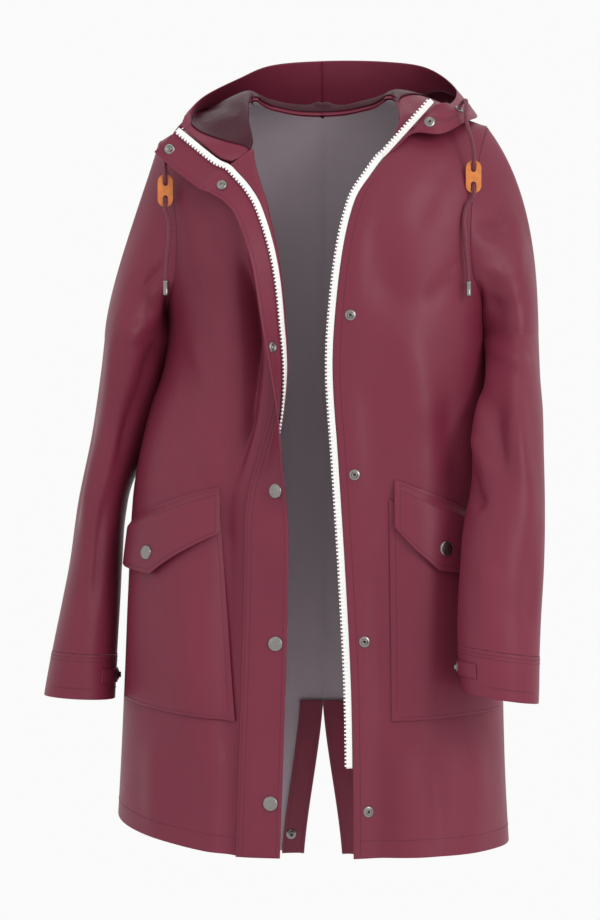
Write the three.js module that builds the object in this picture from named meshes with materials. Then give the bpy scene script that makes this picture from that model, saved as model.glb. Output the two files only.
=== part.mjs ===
// A hooded raincoat, worn open, as hollow cloth: millimetres, +Z up, the front faces -Y, +X is the wearer's left.
// The origin is the middle of the neck opening, level with the highest points of the shoulder seams.
import * as THREE from "three";

// Driving dimensions
const CLOTH = 1.2; // wall of the rubberised cloth
const SEAM = 0.3; // gap between pieces that are sewn together
const ON_CLOTH = CLOTH + SEAM; // middle of a wall that lies on another wall
const TURN = 0.1; // the chest is turned a little: y falls by this much for each mm of x
const MIDDLE_Y = 5; // the plane of the side and shoulder seams, at x = 0
const SQUARENESS = 2.3; // exponent of the body's horizontal sections: 2 is an ellipse
const NECK_HALF = 80; // from the middle of the neck to the neck end of a shoulder seam
const SHOULDER = { left: { x: 184, z: -30 }, right: { x: -184, z: -43 } }; // sleeve ends of the shoulder seams
const UNDERARM_Z = -240;
const HEM = { left: -826, front: -832, right: -800, back: -866 };
const VENT = { top: -690, left: 25, right: -20, middle: 2 }; // height of its top, and x of its edges at the hem
const BEND = 10; // length of cloth that turns round at the roll of the open front
const ZIP_WIDTH = 9;
const CUFF_DEPTH = 50;
const CORD = 4.5;
const SNAP = { radius: 8.2, height: 2.6 };
const STUD = { radius: 6, height: 3.4 };

// The body's horizontal sections: middle and half width, and how far the front and back stand from the seam plane.
const BODY = [
  { z: 20, middle: 0, half: 205, front: 116, back: 97 },
  { z: -45, middle: 2, half: 205, front: 116, back: 97 },
  { z: -110, middle: 4, half: 199, front: 117, back: 98 },
  { z: -200, middle: 4, half: 184, front: 118, back: 100 },
  { z: -250, middle: 4, half: 177, front: 118, back: 101 },
  { z: -300, middle: 3, half: 182, front: 119, back: 103 },
  { z: -345, middle: -1, half: 193, front: 121, back: 106 },
  { z: -400, middle: -5, half: 202, front: 124, back: 110 },
  { z: -450, middle: -8, half: 206, front: 126, back: 114 },
  { z: -550, middle: -10, half: 209, front: 131, back: 120 },
  { z: -650, middle: -11, half: 212, front: 136, back: 127 },
  { z: -760, middle: -12, half: 216, front: 143, back: 134 },
  { z: -880, middle: -12, half: 223, front: 150, back: 141 },
];

// Largest folds of the body: soft upright ridges (and troughs, with a negative height), by face.
const FOLDS = [
  { face: -1, x: -150, spread: 26, height: 9, top: -300, full: -640 },
  { face: -1, x: -104, spread: 16, height: -9, top: -150, full: -330 },
  { face: -1, x: -116, spread: 22, height: 7, top: -560, full: -860 },
  { face: -1, x: 112, spread: 24, height: 8, top: -240, full: -480 },
  { face: -1, x: 62, spread: 18, height: -6, top: -520, full: -800 },
  { face: -1, x: 150, spread: 24, height: 9, top: -560, full: -840 },
  { face: 1, x: -120, spread: 30, height: 12, top: -260, full: -700 },
  { face: 1, x: -62, spread: 24, height: -8, top: -320, full: -760 },
  { face: 1, x: 66, spread: 26, height: -9, top: -300, full: -720 },
  { face: 1, x: 126, spread: 28, height: 12, top: -240, full: -680 },
];

// Half of the armhole, from the shoulder seam down to the underarm: distance from the middle, and height.
const ARMHOLE = [
  { part: 0, x: 184, drop: 0 },
  { part: 0.2, x: 174, drop: 0.15 },
  { part: 0.4, x: 165, drop: 0.36 },
  { part: 0.6, x: 161, drop: 0.58 },
  { part: 0.8, x: 164, drop: 0.8 },
  { part: 0.93, x: 172, drop: 0.95 },
  { part: 1, x: 181, drop: 1 },
];

// The front edge of the wearer's left front, where the zip is sewn.
const LEFT_EDGE = [
  { z: -72, x: 68, slope: 42 },
  { z: -88, x: 57, slope: 38 },
  { z: -112, x: 40, slope: 28 },
  { z: -158, x: 26, slope: 14 },
  { z: -230, x: 16, slope: 5 },
  { z: -305, x: 12, slope: 0 },
  { z: -403, x: 18, slope: -3 },
  { z: -533, x: 26, slope: -3 },
  { z: -663, x: 32, slope: -2 },
  { z: -860, x: 34, slope: 0 },
];

// The wearer's right front turns back at the top. x is where it starts to roll, width is from there to the zip's
// middle line, turn is the angle it has rolled through, and slope is how far the turned cloth points down.
const ROLL = [
  { z: -65, x: -79, width: 42, turn: 170, slope: 46, reach: 40, root: -6 },
  { z: -87, x: -76, width: 28, turn: 168, slope: 38, reach: 33, root: -14 },
  { z: -112, x: -68, width: 19, turn: 163, slope: 30, reach: 28, root: -20 },
  { z: -140, x: -61, width: 15, turn: 151, slope: 22, reach: 27, root: -20 },
  { z: -173, x: -54, width: 13, turn: 140, slope: 16, reach: 27, root: -20 },
  { z: -205, x: -49, width: 12, turn: 135, slope: 10, reach: 27, root: -20 },
  { z: -251, x: -45, width: 12, turn: 126, slope: 4, reach: 27, root: -20 },
  { z: -305, x: -43, width: 12, turn: 109, slope: 0, reach: 27, root: -20 },
  { z: -352, x: -49, width: 12, turn: 84, slope: 0, reach: 27, root: -20 },
  { z: -400, x: -62, width: 12, turn: 52, slope: 0, reach: 27, root: -20 },
  { z: -450, x: -74, width: 12, turn: 16, slope: 0, reach: 27, root: -20 },
  { z: -520, x: -76, width: 12, turn: 0, slope: 0, reach: 27, root: -20 },
  { z: -645, x: -79, width: 12, turn: 0, slope: 0, reach: 27, root: -20 },
  { z: -860, x: -86, width: 12, turn: 0, slope: 0, reach: 27, root: -20 },
];

// Where the same edge goes on along the hood, from the zip's top end down: points of the zip's middle line.
const COLLAR_EDGE = [
  { at: [-161, -58, -38], slope: 45, turn: 172, reach: 35 },
  { at: [-146, -66, -51], slope: 47, turn: 172, reach: 36 },
  { at: [-131, -74, -64], slope: 49, turn: 171, reach: 36 },
  { at: [-116, -81, -76], slope: 48, turn: 170, reach: 36 },
];

// Sections of the hood as it lies back, from the wearer's right zip round the neck to the left zip. Each runs from
// the neck seam (x and z, its y lies on the body) over a low stand to the bottom of the pouch, out, and up to the rim.
const HOOD = [
  { neck: [-101, -88], low: [-121, -76, -72], out: [-141, -66, -56], rim: [-161, -58, -38], stand: 0 },
  { neck: [-79, -65], low: [-105, -72, -52], out: [-139, -54, -38], rim: [-153, -45, -22], stand: 5 },
  { neck: [-83, -30], low: [-108, -46, -24], out: [-143, -28, -26], rim: [-146, -16, -8], stand: 8 },
  { neck: [-80, 0], low: [-106, 24, 4], out: [-141, 28, -10], rim: [-132, 22, 10], stand: 9 },
  { neck: [-55, -3], low: [-92, 118, -44], out: [-118, 124, -14], rim: [-96, 76, 36], stand: 10 },
  { neck: [-28, -7], low: [-48, 144, -108], out: [-68, 168, -44], rim: [-60, 112, 56], stand: 10 },
  { neck: [0, -8], low: [0, 146, -145], out: [0, 180, -66], rim: [0, 130, 64], stand: 10 },
  { neck: [28, -7], low: [52, 134, -112], out: [84, 152, -34], rim: [72, 120, 62], stand: 10 },
  { neck: [55, -3], low: [98, 94, -46], out: [138, 98, 6], rim: [118, 92, 52], stand: 10 },
  { neck: [80, 0], low: [116, 20, 5], out: [174, 18, -13], rim: [151, 14, 16], stand: 9 },
  { neck: [84, -34], low: [112, -70, -15], out: [157, -64, -30], rim: [142, -48, -8], stand: 8 },
  { neck: [77, -54], low: [99, -80, -36], out: [127, -90, -46], rim: [134, -72, -10], stand: 4 },
  { neck: [68, -72], low: [87, -92, -52], out: [106, -90, -30], rim: [122, -88, -12], stand: 0 },
];

// Sleeve sections below the armhole: centre, half widths, and how much the outer side sits lower than the inner.
const SLEEVE = {
  left: [
    { z: -265, x: 215, y: -16, across: 26, deep: 62, tilt: 0 },
    { z: -310, x: 214, y: -62, across: 25, deep: 60, tilt: 2 },
    { z: -345, x: 210, y: -98, across: 29, deep: 54, tilt: 4 },
    { z: -385, x: 202, y: -122, across: 36, deep: 52, tilt: 5 },
    { z: -436, x: 199, y: -136, across: 39, deep: 50, tilt: 5 },
    { z: -479, x: 194, y: -148, across: 43, deep: 48, tilt: 5 },
    { z: -522, x: 191, y: -156, across: 44, deep: 47, tilt: 5 },
    { z: -566, x: 188, y: -160, across: 44, deep: 46, tilt: 5 },
    { z: -606, x: 187, y: -164, across: 43, deep: 46, tilt: 6 },
    { z: -656, x: 188, y: -167, across: 40, deep: 45, tilt: 6 },
  ],
  right: [
    { z: -268, x: -213, y: 14, across: 32, deep: 60, tilt: 0 },
    { z: -305, x: -219, y: 26, across: 31, deep: 60, tilt: 0 },
    { z: -369, x: -232, y: 46, across: 29, deep: 60, tilt: 0 },
    { z: -448, x: -250, y: 46, across: 27, deep: 58, tilt: 0 },
    { z: -517, x: -257, y: 40, across: 29, deep: 56, tilt: 0 },
    { z: -562, x: -262, y: 34, across: 32, deep: 54, tilt: -1 },
    { z: -620, x: -269, y: 26, across: 36, deep: 51, tilt: -2 },
    { z: -670, x: -274, y: 20, across: 39, deep: 49, tilt: -2 },
  ],
};

// Pockets and flaps, on each front: x of the edges nearest the opening, the angle of the outer edges, and heights.
const POCKET = {
  left: { topX: 71, bottomX: 74, outer: 74, top: -446, topOuter: -504, bottom: -685, bottomOuter: -676 },
  right: { topX: -113, bottomX: -94, outer: 76, top: -449, topOuter: -488, bottom: -687, bottomOuter: -668 },
};
const FLAP = {
  left: { innerX: 77, outer: 76, topInner: -424, topOuter: -486, drop: 52, point: 31, pointAt: 0.25, snapAt: 0.3 },
  right: { innerX: -113, outer: 78, topInner: -432, topOuter: -470, drop: 50, point: 28, pointAt: 0.5, snapAt: 0.55 },
};
const POCKET_BULGE = 6;
const FLAP_STAND = 4;
const SNAP_DOWN = 0.7; // of the way down a flap
const FLAP_LIFT = 2.1; // of the sewn edge of a flap

// Drawcords, from the eyelet down: each leaves the hood's edge, weaves through its leather stopper, and goes on
// down the chest.
const CORD_ROUTE = {
  left: {
    above: [
      [151.6, -49.3, -11.6],
      [155, -52, -7],
      [158, -59, -6],
      [158, -69, -13],
      [157, -78, -25],
      [159, -86, -40],
      [163, -91, -55],
    ],
    below: [
      [158, -92, -124],
      [154, -95, -140],
      [155, -98, -158],
      [156, -98, -176],
      [158, -96, -192],
      [159, -95, -209],
    ],
  },
  right: {
    above: [
      [-150.8, -41.4, -26],
      [-154, -39.5, -29],
      [-159, -38, -34],
      [-164, -38.5, -41],
      [-169, -42, -52],
      [-172.5, -49, -63],
      [-174, -56, -74],
    ],
    below: [
      [-170, -59, -138],
      [-169, -61, -150],
      [-170, -62, -166],
      [-172, -63, -184],
      [-173, -63, -206],
    ],
  },
};
// The stopper's two holes are so far apart, and the cord swings in front of it, behind its middle, and in front again.
const STOPPER = { width: 17, length: 36, thick: 2, apart: 22, hole: 5.8, slot: 11.4, swing: 5.3 };
const STOPPER_AT = { left: [165, -86, -93], right: [-174, -53, -105] };
const EYELET = { radius: 5.5, hole: 2.8, height: 1.2 };
const TIP = { radius: 3.4, length: 16 };

const COLOURS = {
  cloth: 0x7b3848,
  lining: 0x4b1c28,
  zip: 0xf2f0ee,
  metal: 0xb9b8ba,
  leather: 0xc87332,
};
const FINISH = {
  cloth: { roughness: 0.55, metalness: 0 },
  lining: { roughness: 0.3, metalness: 0 },
  zip: { roughness: 0.4, metalness: 0 },
  metal: { roughness: 0.3, metalness: 1 },
  leather: { roughness: 0.6, metalness: 0 },
};

const coat = new THREE.Group();

const clamp = (value) => Math.min(1, Math.max(0, value));
const mix = (a, b, part) => a + (b - a) * part;
const smooth = (part) => clamp(part) ** 2 * (3 - 2 * clamp(part));
const radians = (degrees) => (degrees * Math.PI) / 180;
const vector = (list) => new THREE.Vector3(...list);

// The value of a column where the key column has the given value, on a smooth curve through the rows.
function along(table, key, column, place) {
  const rising = table[table.length - 1][key] > table[0][key] ? 1 : -1;
  const last = table.length - 2;
  let i = 0;
  while (i < last && rising * (place - table[i + 1][key]) > 0) i += 1;
  const [a, b] = [table[i], table[i + 1]];
  const step = b[key] - a[key];
  const part = clamp((place - a[key]) / step);
  const before = table[i - 1] ?? a;
  const after = table[i + 2] ?? b;
  const slopeA = ((b[column] - before[column]) / (b[key] - before[key])) * step;
  const slopeB = ((after[column] - a[column]) / (after[key] - a[key])) * step;
  const [p2, p3] = [part * part, part ** 3];
  return (
    (2 * p3 - 3 * p2 + 1) * a[column] +
    (p3 - 2 * p2 + part) * slopeA +
    (3 * p2 - 2 * p3) * b[column] +
    (p3 - p2) * slopeB
  );
}

// Height of the shoulder line over x: from the neck to the sleeve on each side, and a low dome over the neck.
function shoulderZ(x) {
  const end = x > 0 ? SHOULDER.left : SHOULDER.right;
  const out = (Math.abs(x) - NECK_HALF) / (Math.abs(end.x) - NECK_HALF);
  return out < 0 ? -14 * out : end.z * out;
}

// y of the body's cloth at x and z: face is -1 on the front and 1 on the back.
function bodyY(face, x, z) {
  const middle = along(BODY, "z", "middle", z);
  const half = along(BODY, "z", "half", z);
  const depth = along(BODY, "z", face < 0 ? "front" : "back", z);
  const chest = face < 0 ? { z: -200, round: 2.2 } : { z: -120, round: 3 };
  const sideways = Math.min(1, Math.abs((x - middle) / half));
  const upward = clamp((z - chest.z) / (shoulderZ(x) - chest.z));
  const across = (1 - sideways ** SQUARENESS) ** (1 / SQUARENESS);
  const up = (1 - upward ** chest.round) ** (1 / chest.round);
  let fold = 0;
  for (const f of FOLDS) {
    if (f.face !== face) continue;
    const grown = smooth((z - f.top) / (f.full - f.top));
    fold += f.height * grown * Math.exp(-(((x - f.x) / f.spread) ** 2)) * across;
  }
  return MIDDLE_Y - TURN * x + face * (SEAM / 2 + depth * across * up + fold);
}

// The outward normal of the body's cloth.
function bodyNormal(face, x, z) {
  const step = 0.4;
  const middle = along(BODY, "z", "middle", z);
  const inward = x > middle ? -step : step;
  const y = bodyY(face, x, z);
  const slopeX = (bodyY(face, x + inward, z) - y) / inward;
  const slopeZ = (y - bodyY(face, x, z - step)) / step;
  return new THREE.Vector3(-slopeX, 1, -slopeZ).multiplyScalar(face).normalize();
}

function onBody(face, x, z, lift = 0) {
  const point = new THREE.Vector3(x, bodyY(face, x, z), z);
  return lift ? point.addScaledVector(bodyNormal(face, x, z), lift) : point;
}

// x on the section at z for an angle round the body: 0 is the middle, 90 and -90 the side seams.
function xAtAngle(degrees, z) {
  const sine = Math.sin(radians(degrees));
  const out = Math.sign(sine) * Math.abs(sine) ** (2 / SQUARENESS);
  return along(BODY, "z", "middle", z) + along(BODY, "z", "half", z) * out;
}

function angleAtX(x, z) {
  const out = (x - along(BODY, "z", "middle", z)) / along(BODY, "z", "half", z);
  return (Math.sign(out) * Math.asin(Math.min(1, Math.abs(out)) ** (SQUARENESS / 2)) * 180) / Math.PI;
}

// Height of the hem at an angle round the body.
function hemZ(face, degrees) {
  const side = degrees > 0 ? HEM.left : HEM.right;
  const middle = face < 0 ? HEM.front : HEM.back;
  return mix(middle, side, smooth(Math.abs(degrees) / 90));
}

// A closed wall from a grid of points and normals: rows of equal length, which close on themselves if round is set.
function wallMesh(points, normals, thickness, round = false) {
  const rows = points.length;
  const columns = points[0].length;
  const places = [];
  for (const side of [0.5, -0.5])
    for (let r = 0; r < rows; r += 1)
      for (let c = 0; c < columns; c += 1) {
        const p = points[r][c].clone().addScaledVector(normals[r][c], side * thickness);
        places.push(p.x, p.y, p.z);
      }
  const outer = (r, c) => r * columns + (c % columns);
  const inner = (r, c) => rows * columns + outer(r, c);
  const faces = [];
  const quad = (a, b, c, d) => faces.push(a, b, c, a, c, d);
  const lastColumn = round ? columns : columns - 1;
  for (let r = 0; r < rows - 1; r += 1)
    for (let c = 0; c < lastColumn; c += 1) {
      quad(outer(r, c), outer(r + 1, c), outer(r + 1, c + 1), outer(r, c + 1));
      quad(inner(r, c), inner(r, c + 1), inner(r + 1, c + 1), inner(r + 1, c));
    }
  for (let c = 0; c < lastColumn; c += 1) {
    quad(outer(0, c), outer(0, c + 1), inner(0, c + 1), inner(0, c));
    quad(outer(rows - 1, c + 1), outer(rows - 1, c), inner(rows - 1, c), inner(rows - 1, c + 1));
  }
  if (!round)
    for (let r = 0; r < rows - 1; r += 1) {
      quad(outer(r + 1, 0), outer(r, 0), inner(r, 0), inner(r + 1, 0));
      quad(outer(r, columns - 1), outer(r + 1, columns - 1), inner(r + 1, columns - 1), inner(r, columns - 1));
    }
  return faceOut(places, faces);
}

// A geometry whose faces point out: a mesh that encloses a negative volume is turned.
function faceOut(places, faces) {
  const corner = (n) => new THREE.Vector3(...places.slice(3 * faces[n], 3 * faces[n] + 3));
  let volume = 0;
  for (let n = 0; n < faces.length; n += 3) volume += corner(n).dot(corner(n + 1).cross(corner(n + 2)));
  if (volume < 0)
    for (let n = 0; n < faces.length; n += 3) [faces[n + 1], faces[n + 2]] = [faces[n + 2], faces[n + 1]];
  const geometry = new THREE.BufferGeometry();
  geometry.setAttribute("position", new THREE.Float32BufferAttribute(places, 3));
  geometry.setIndex(faces);
  return geometry;
}

// Normals of a grid from its own points.
function gridNormals(points, round = false) {
  const rows = points.length;
  const columns = points[0].length;
  const at = (r, c) => {
    const column = round ? (c + columns) % columns : Math.min(columns - 1, Math.max(0, c));
    return points[Math.min(rows - 1, Math.max(0, r))][column];
  };
  return points.map((row, r) =>
    row.map((_, c) => {
      const down = at(r + 1, c).clone().sub(at(r - 1, c));
      const across = at(r, c + 1).clone().sub(at(r, c - 1));
      return across.cross(down).normalize();
    }),
  );
}

function add(name, geometry, kind) {
  const material = new THREE.MeshStandardMaterial({ color: COLOURS[kind], ...FINISH[kind] });
  const mesh = new THREE.Mesh(geometry, material);
  mesh.name = name;
  coat.add(mesh);
  return mesh;
}

// Adds a wall whose points come from a function of its row and column.
function addWall(name, rows, columns, pointAt, options = {}) {
  const { thickness = CLOTH, round = false, normalAt = null, kind = "cloth" } = options;
  const grid = (make) =>
    Array.from({ length: rows + 1 }, (_r, r) =>
      Array.from({ length: round ? columns : columns + 1 }, (_c, c) => make(r, c)),
    );
  const points = grid(pointAt);
  const normals = normalAt ? grid(normalAt) : gridNormals(points, round);
  return add(name, wallMesh(points, normals, thickness, round), kind);
}

// Fronts and backs: a patch from the armhole and side seam to the opening or the centre back.
const PANEL = { rows: 24, columns: 11, neckRows: 3, armRows: 8 };

function armholePoint(side, part) {
  const seam = SHOULDER[side];
  const z = mix(seam.z, UNDERARM_Z, along(ARMHOLE, "part", "drop", part));
  const sign = side === "left" ? 1 : -1;
  const x = part === 1 ? xAtAngle(90 * sign, z) : sign * along(ARMHOLE, "part", "x", part);
  return { x, z };
}

// x of the inner border of a front or back at z, below the neck.
function borderX(face, side, z) {
  if (face < 0) return side === "left" ? along(LEFT_EDGE, "z", "x", z) : along(ROLL, "z", "x", z) - SEAM;
  const down = (z - VENT.top) / (HEM.back - VENT.top);
  const open = smooth(down) * 0.4 + 0.6 * clamp(down);
  const sign = side === "left" ? 1 : -1;
  return VENT.middle + (sign * SEAM) / 2 + (VENT[side] - VENT.middle) * open;
}

// The neck seam, from the shoulder seam (part 0) to the top of the front edge or the centre back (part 1).
const NECK_ORDER = {
  left: { sections: [...HOOD].reverse(), shoulder: 3, front: 0, back: 6 },
  right: { sections: HOOD, shoulder: 3, front: 1, back: 6 },
};

function neckPoint(face, side, part) {
  const order = NECK_ORDER[side];
  const place = mix(order.shoulder, face < 0 ? order.front : order.back, part);
  const rows = order.sections.map(({ neck }, n) => ({ n, x: neck[0], z: neck[1] }));
  const x = along(rows, "n", "x", place);
  const centre = face > 0 && part === 1;
  return { x: centre ? borderX(1, side, 0) : x, z: along(rows, "n", "z", place) };
}

// x and z of a place on a front or back, by row from the shoulder seam down and column from the side inwards.
function panelPlace(face, side, row, column) {
  const sign = side === "left" ? 1 : -1;
  const { rows, columns, neckRows, armRows } = PANEL;
  const low = clamp((row - armRows) / (rows - armRows));
  let outer = armholePoint(side, Math.min(1, row / armRows));
  if (row > armRows) {
    const z = mix(UNDERARM_Z, hemZ(face, 90 * sign), low);
    outer = { x: xAtAngle(90 * sign, z), z };
  }
  let inner = neckPoint(face, side, Math.min(1, row / neckRows));
  if (row > neckRows) {
    const high = Math.min(1, (row - neckRows) / (armRows - neckRows));
    const z = row <= armRows ? mix(inner.z, UNDERARM_Z, high) : mix(UNDERARM_Z, hemZ(face, 0), low);
    inner = { x: borderX(face, side, z), z };
  }
  if (column === 0) return outer;
  if (column === columns) return inner;
  const part = column / columns;
  const z = mix(outer.z, inner.z, part);
  return { x: xAtAngle(mix(angleAtX(outer.x, outer.z), angleAtX(inner.x, inner.z), part), z), z };
}

for (const [face, faceName] of [
  [-1, "front"],
  [1, "back"],
])
  for (const side of ["left", "right"]) {
    const place = (r, c) => panelPlace(face, side, r, c);
    addWall(
      faceName + "_" + side,
      PANEL.rows,
      PANEL.columns,
      (r, c) => onBody(face, place(r, c).x, place(r, c).z),
      {
        normalAt: (r, c) => {
          const normal = bodyNormal(face, place(r, c).x, place(r, c).z);
          const sewn = r === 0 || (c === 0 && r >= PANEL.armRows);
          return sewn ? normal.setY(0).normalize() : normal;
        },
      },
    );
  }

// The turned front edge. at(s, lift) is the point s mm past the zip's middle line (less than 0 towards the
// front), lifted by so much to the cloth's outer side.
const FORWARD = new THREE.Vector3(0, -1, 0);

function headingFrom(flat, forward, angle) {
  return flat.clone().multiplyScalar(Math.cos(angle)).addScaledVector(forward, Math.sin(angle));
}

function rollRow(z) {
  const value = (column) => along(ROLL, "z", column, z);
  const turn = radians(value("turn"));
  const slope = radians(value("slope"));
  const start = onBody(-1, value("x"), z);
  const forward = bodyNormal(-1, value("x"), z);
  const level = new THREE.Vector3(Math.cos(slope), 0, Math.sin(slope));
  const flat = level.addScaledVector(forward, -level.dot(forward)).normalize();
  const at = (s, lift) => {
    const length = s + value("width");
    const lying = onBody(-1, start.x + length, z, lift);
    if (length <= 0) return lying;
    const steps = 24;
    const angleAt = (part) => turn * smooth((part * length) / BEND);
    const point = start.clone();
    for (let n = 0; n < steps; n += 1)
      point.addScaledVector(headingFrom(flat, forward, angleAt((n + 0.5) / steps)), length / steps);
    point.addScaledVector(headingFrom(flat, forward, angleAt(1) + Math.PI / 2), lift);
    return lying.lerp(point, smooth(turn / radians(30)));
  };
  return { at, reach: value("reach"), root: value("root"), width: value("width") };
}

// The same on the hood's front edge, which lies turned back all the way.
function collarRow({ at: zip, slope, turn, reach }) {
  const flat = new THREE.Vector3(Math.cos(radians(slope)), 0, Math.sin(radians(slope)));
  const at = (s, lift) =>
    vector(zip)
      .addScaledVector(headingFrom(flat, FORWARD, radians(turn)), s)
      .addScaledVector(headingFrom(flat, FORWARD, radians(turn + 90)), lift);
  return { at, reach, root: -4, width: 0 };
}

const ROLL_ROWS = 30;
const rollRows = Array.from({ length: ROLL_ROWS + 1 }, (_, n) =>
  rollRow(mix(ROLL[0].z, HEM.front, (n / ROLL_ROWS) ** 1.15)),
);
const rightEdgeRows = [...COLLAR_EDGE.map(collarRow), ...rollRows];
const ZIP_EDGE = ZIP_WIDTH / 2 + SEAM;
const FACED = 1.8; // wall of two layers of cloth, and of the zip
const FLY_MIDDLE = ON_CLOTH + 1.8; // of the fly's wall, above the front's

// A wall whose rows are places on an edge and whose columns lie across it.
function addEdgeWall(name, rows, columns, across, lift, options) {
  addWall(name, rows.length - 1, columns, (r, c) => rows[r].at(across(rows[r], c / columns), lift), {
    normalAt: (r, c) => {
      const s = across(rows[r], c / columns);
      return rows[r].at(s, 1).sub(rows[r].at(s, 0)).normalize();
    },
    ...options,
  });
}

const acrossFacing = (row, part) => mix(4 * SEAM - row.width, -ZIP_EDGE, part);
const acrossFly = (row, part) => mix(row.root, row.reach, part);
addEdgeWall("facing_right", rollRows, 5, acrossFacing, 0, { thickness: FACED });
addEdgeWall("fly", rightEdgeRows, 7, acrossFly, FLY_MIDDLE, { thickness: FACED });
addEdgeWall("zip_right", rightEdgeRows, 1, (row, part) => mix(-0.5, 0.5, part) * ZIP_WIDTH, 0, {
  thickness: FACED,
  kind: "zip",
});

// The wearer's left front edge and its zip, with the hood's front edge above it.
function leftEdgeRow(z) {
  const x = along(LEFT_EDGE, "z", "x", z);
  const slope = radians(along(LEFT_EDGE, "z", "slope", z));
  return { at: (s, lift) => onBody(-1, x - s * Math.cos(slope), z + s * Math.sin(slope), lift) };
}

function leftCollarRow(part) {
  const neck = HOOD[HOOD.length - 1].neck;
  const start = onBody(-1, neck[0], neck[1]);
  const line = vector(HOOD[HOOD.length - 1].rim).sub(start);
  const flat = new THREE.Vector3(-line.z, -0.7 * line.x, line.x).normalize();
  const outer = line.clone().cross(flat).normalize();
  if (outer.y > 0) outer.negate();
  return {
    at: (s, lift) => start.clone().addScaledVector(line, part).addScaledVector(flat, s).addScaledVector(outer, lift),
  };
}

const LEFT_ZIP_ROWS = 26;
const LEFT_ZIP_END = -735;
const leftEdgeRows = [1, 0.75, 0.5, 0.25, 0.04].map(leftCollarRow);
for (let n = 0; n <= LEFT_ZIP_ROWS; n += 1)
  leftEdgeRows.push(leftEdgeRow(mix(LEFT_EDGE[0].z - 4, LEFT_ZIP_END, (n / LEFT_ZIP_ROWS) ** 1.1)));
const acrossLeftZip = (row, part) => 6 * SEAM + part * ZIP_WIDTH;
addEdgeWall("zip_left", leftEdgeRows, 1, acrossLeftZip, 0, { thickness: FACED, kind: "zip" });

// Sleeves: a ring is given by the angle round it, 0 at the outer side, 90 in front, 180 at the body.
const SLEEVE_COLUMNS = 2 * PANEL.armRows; // so that a sleeve's points meet the panels' at the armhole
const CAP_ROWS = 7;
const CAP_SHAPE = { left: { droop: 0.9, slack: 1 }, right: { droop: 2.3, slack: 0.65 } };

function sleeveRing(side, z, angle, lift = 0) {
  const value = (column) => along(SLEEVE[side], "z", column, z);
  const sign = side === "left" ? 1 : -1;
  const [c, s] = [Math.cos(radians(angle)), Math.sin(radians(angle))];
  return new THREE.Vector3(
    value("x") + sign * c * (value("across") + lift),
    value("y") - s * (value("deep") + lift),
    z - c * value("tilt"),
  );
}

function armholeAt(side, angle) {
  const face = angle <= 180 ? -1 : 1;
  const part = (angle <= 180 ? angle : 360 - angle) / 180;
  const { x, z } = armholePoint(side, part);
  return { face, part, x, z };
}

function sleeveCap(side, row, angle) {
  const { face, part, x, z } = armholeAt(side, angle);
  const normal = bodyNormal(face, x, z);
  const [before, after] = [-1.5, 1.5].map((turn) => {
    const near = armholeAt(side, Math.min(face < 0 ? 180 : 360, Math.max(face < 0 ? 0 : 181, angle + turn)));
    return onBody(near.face, near.x, near.z);
  });
  const along = normal.clone().cross(after.sub(before)).normalize();
  if (along.x * x < 0) along.negate();
  const lean = smooth((part - 0.35) / 0.65);
  const out = along.multiplyScalar(1 - 0.75 * lean).addScaledVector(normal, 0.9 * lean).normalize();
  const start = onBody(face, x, z).addScaledVector(out, 4 * SEAM);
  const { droop, slack } = CAP_SHAPE[side];
  const high = smooth(1 - part / 0.75);
  const leaving = out.addScaledVector(new THREE.Vector3(0, 0, -1), droop * high).normalize();
  const end = sleeveRing(side, SLEEVE[side][0].z, angle);
  const length = start.distanceTo(end);
  const t = row / CAP_ROWS;
  const [t2, t3] = [t * t, t ** 3];
  return start
    .multiplyScalar(2 * t3 - 3 * t2 + 1)
    .addScaledVector(leaving, (t3 - 2 * t2 + t) * length * mix(1, 0.7, lean))
    .addScaledVector(end, 3 * t2 - 2 * t3)
    .addScaledVector(new THREE.Vector3(0, 0, -1), (t3 - t2) * length * mix(slack, 1, lean));
}

for (const side of ["left", "right"]) {
  const table = SLEEVE[side];
  const top = table[0].z;
  const end = table[table.length - 1].z;
  const seam = end + CUFF_DEPTH;
  const angleOf = (c) => (c * 360) / SLEEVE_COLUMNS;
  const lowRows = 10;
  addWall(
    "sleeve_" + side,
    CAP_ROWS + lowRows,
    SLEEVE_COLUMNS,
    (r, c) =>
      r < CAP_ROWS
        ? sleeveCap(side, r, angleOf(c))
        : sleeveRing(side, mix(top, seam, (r - CAP_ROWS) / lowRows), angleOf(c)),
    { round: true },
  );
  addWall(
    "cuff_" + side,
    2,
    SLEEVE_COLUMNS,
    (r, c) => sleeveRing(side, mix(seam - SEAM, end, r / 2), angleOf(c), 0.4),
    { round: true },
  );
}

// The hood: a place is given by the section, from 0 at the right zip to the last at the left zip, and by the part of
// the way from the neck seam to the rim.
const HOOD_LAST = HOOD.length - 1;
const HOOD_MIDDLE = 6;
const HOOD_RISE = 2.4; // its seam lies this much above the cloth it is sewn to
const HOOD_STATIONS = HOOD.map((row, n) => {
  const face = n < NECK_ORDER.right.shoulder || n > HOOD_LAST - NECK_ORDER.left.shoulder ? -1 : 1;
  if (n === 0) {
    const rows = [rollRows[0], ...COLLAR_EDGE.map(collarRow).reverse()];
    const places = rows.map((edge) => edge.at(-ZIP_EDGE - 1.2, 0));
    places[0].z += HOOD_RISE;
    return places;
  }
  const neck = onBody(face, row.neck[0], row.neck[1]);
  neck.z += HOOD_RISE;
  if (n === HOOD_LAST) return [0.16, 0.24, 0.36, 0.6, 1].map((part) => leftCollarRow(part).at(-3.2, 0));
  const stand = neck.clone().lerp(vector(row.low), 0.12);
  stand.z = neck.z + row.stand;
  return [neck, stand, vector(row.low), vector(row.out), vector(row.rim)];
});

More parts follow.
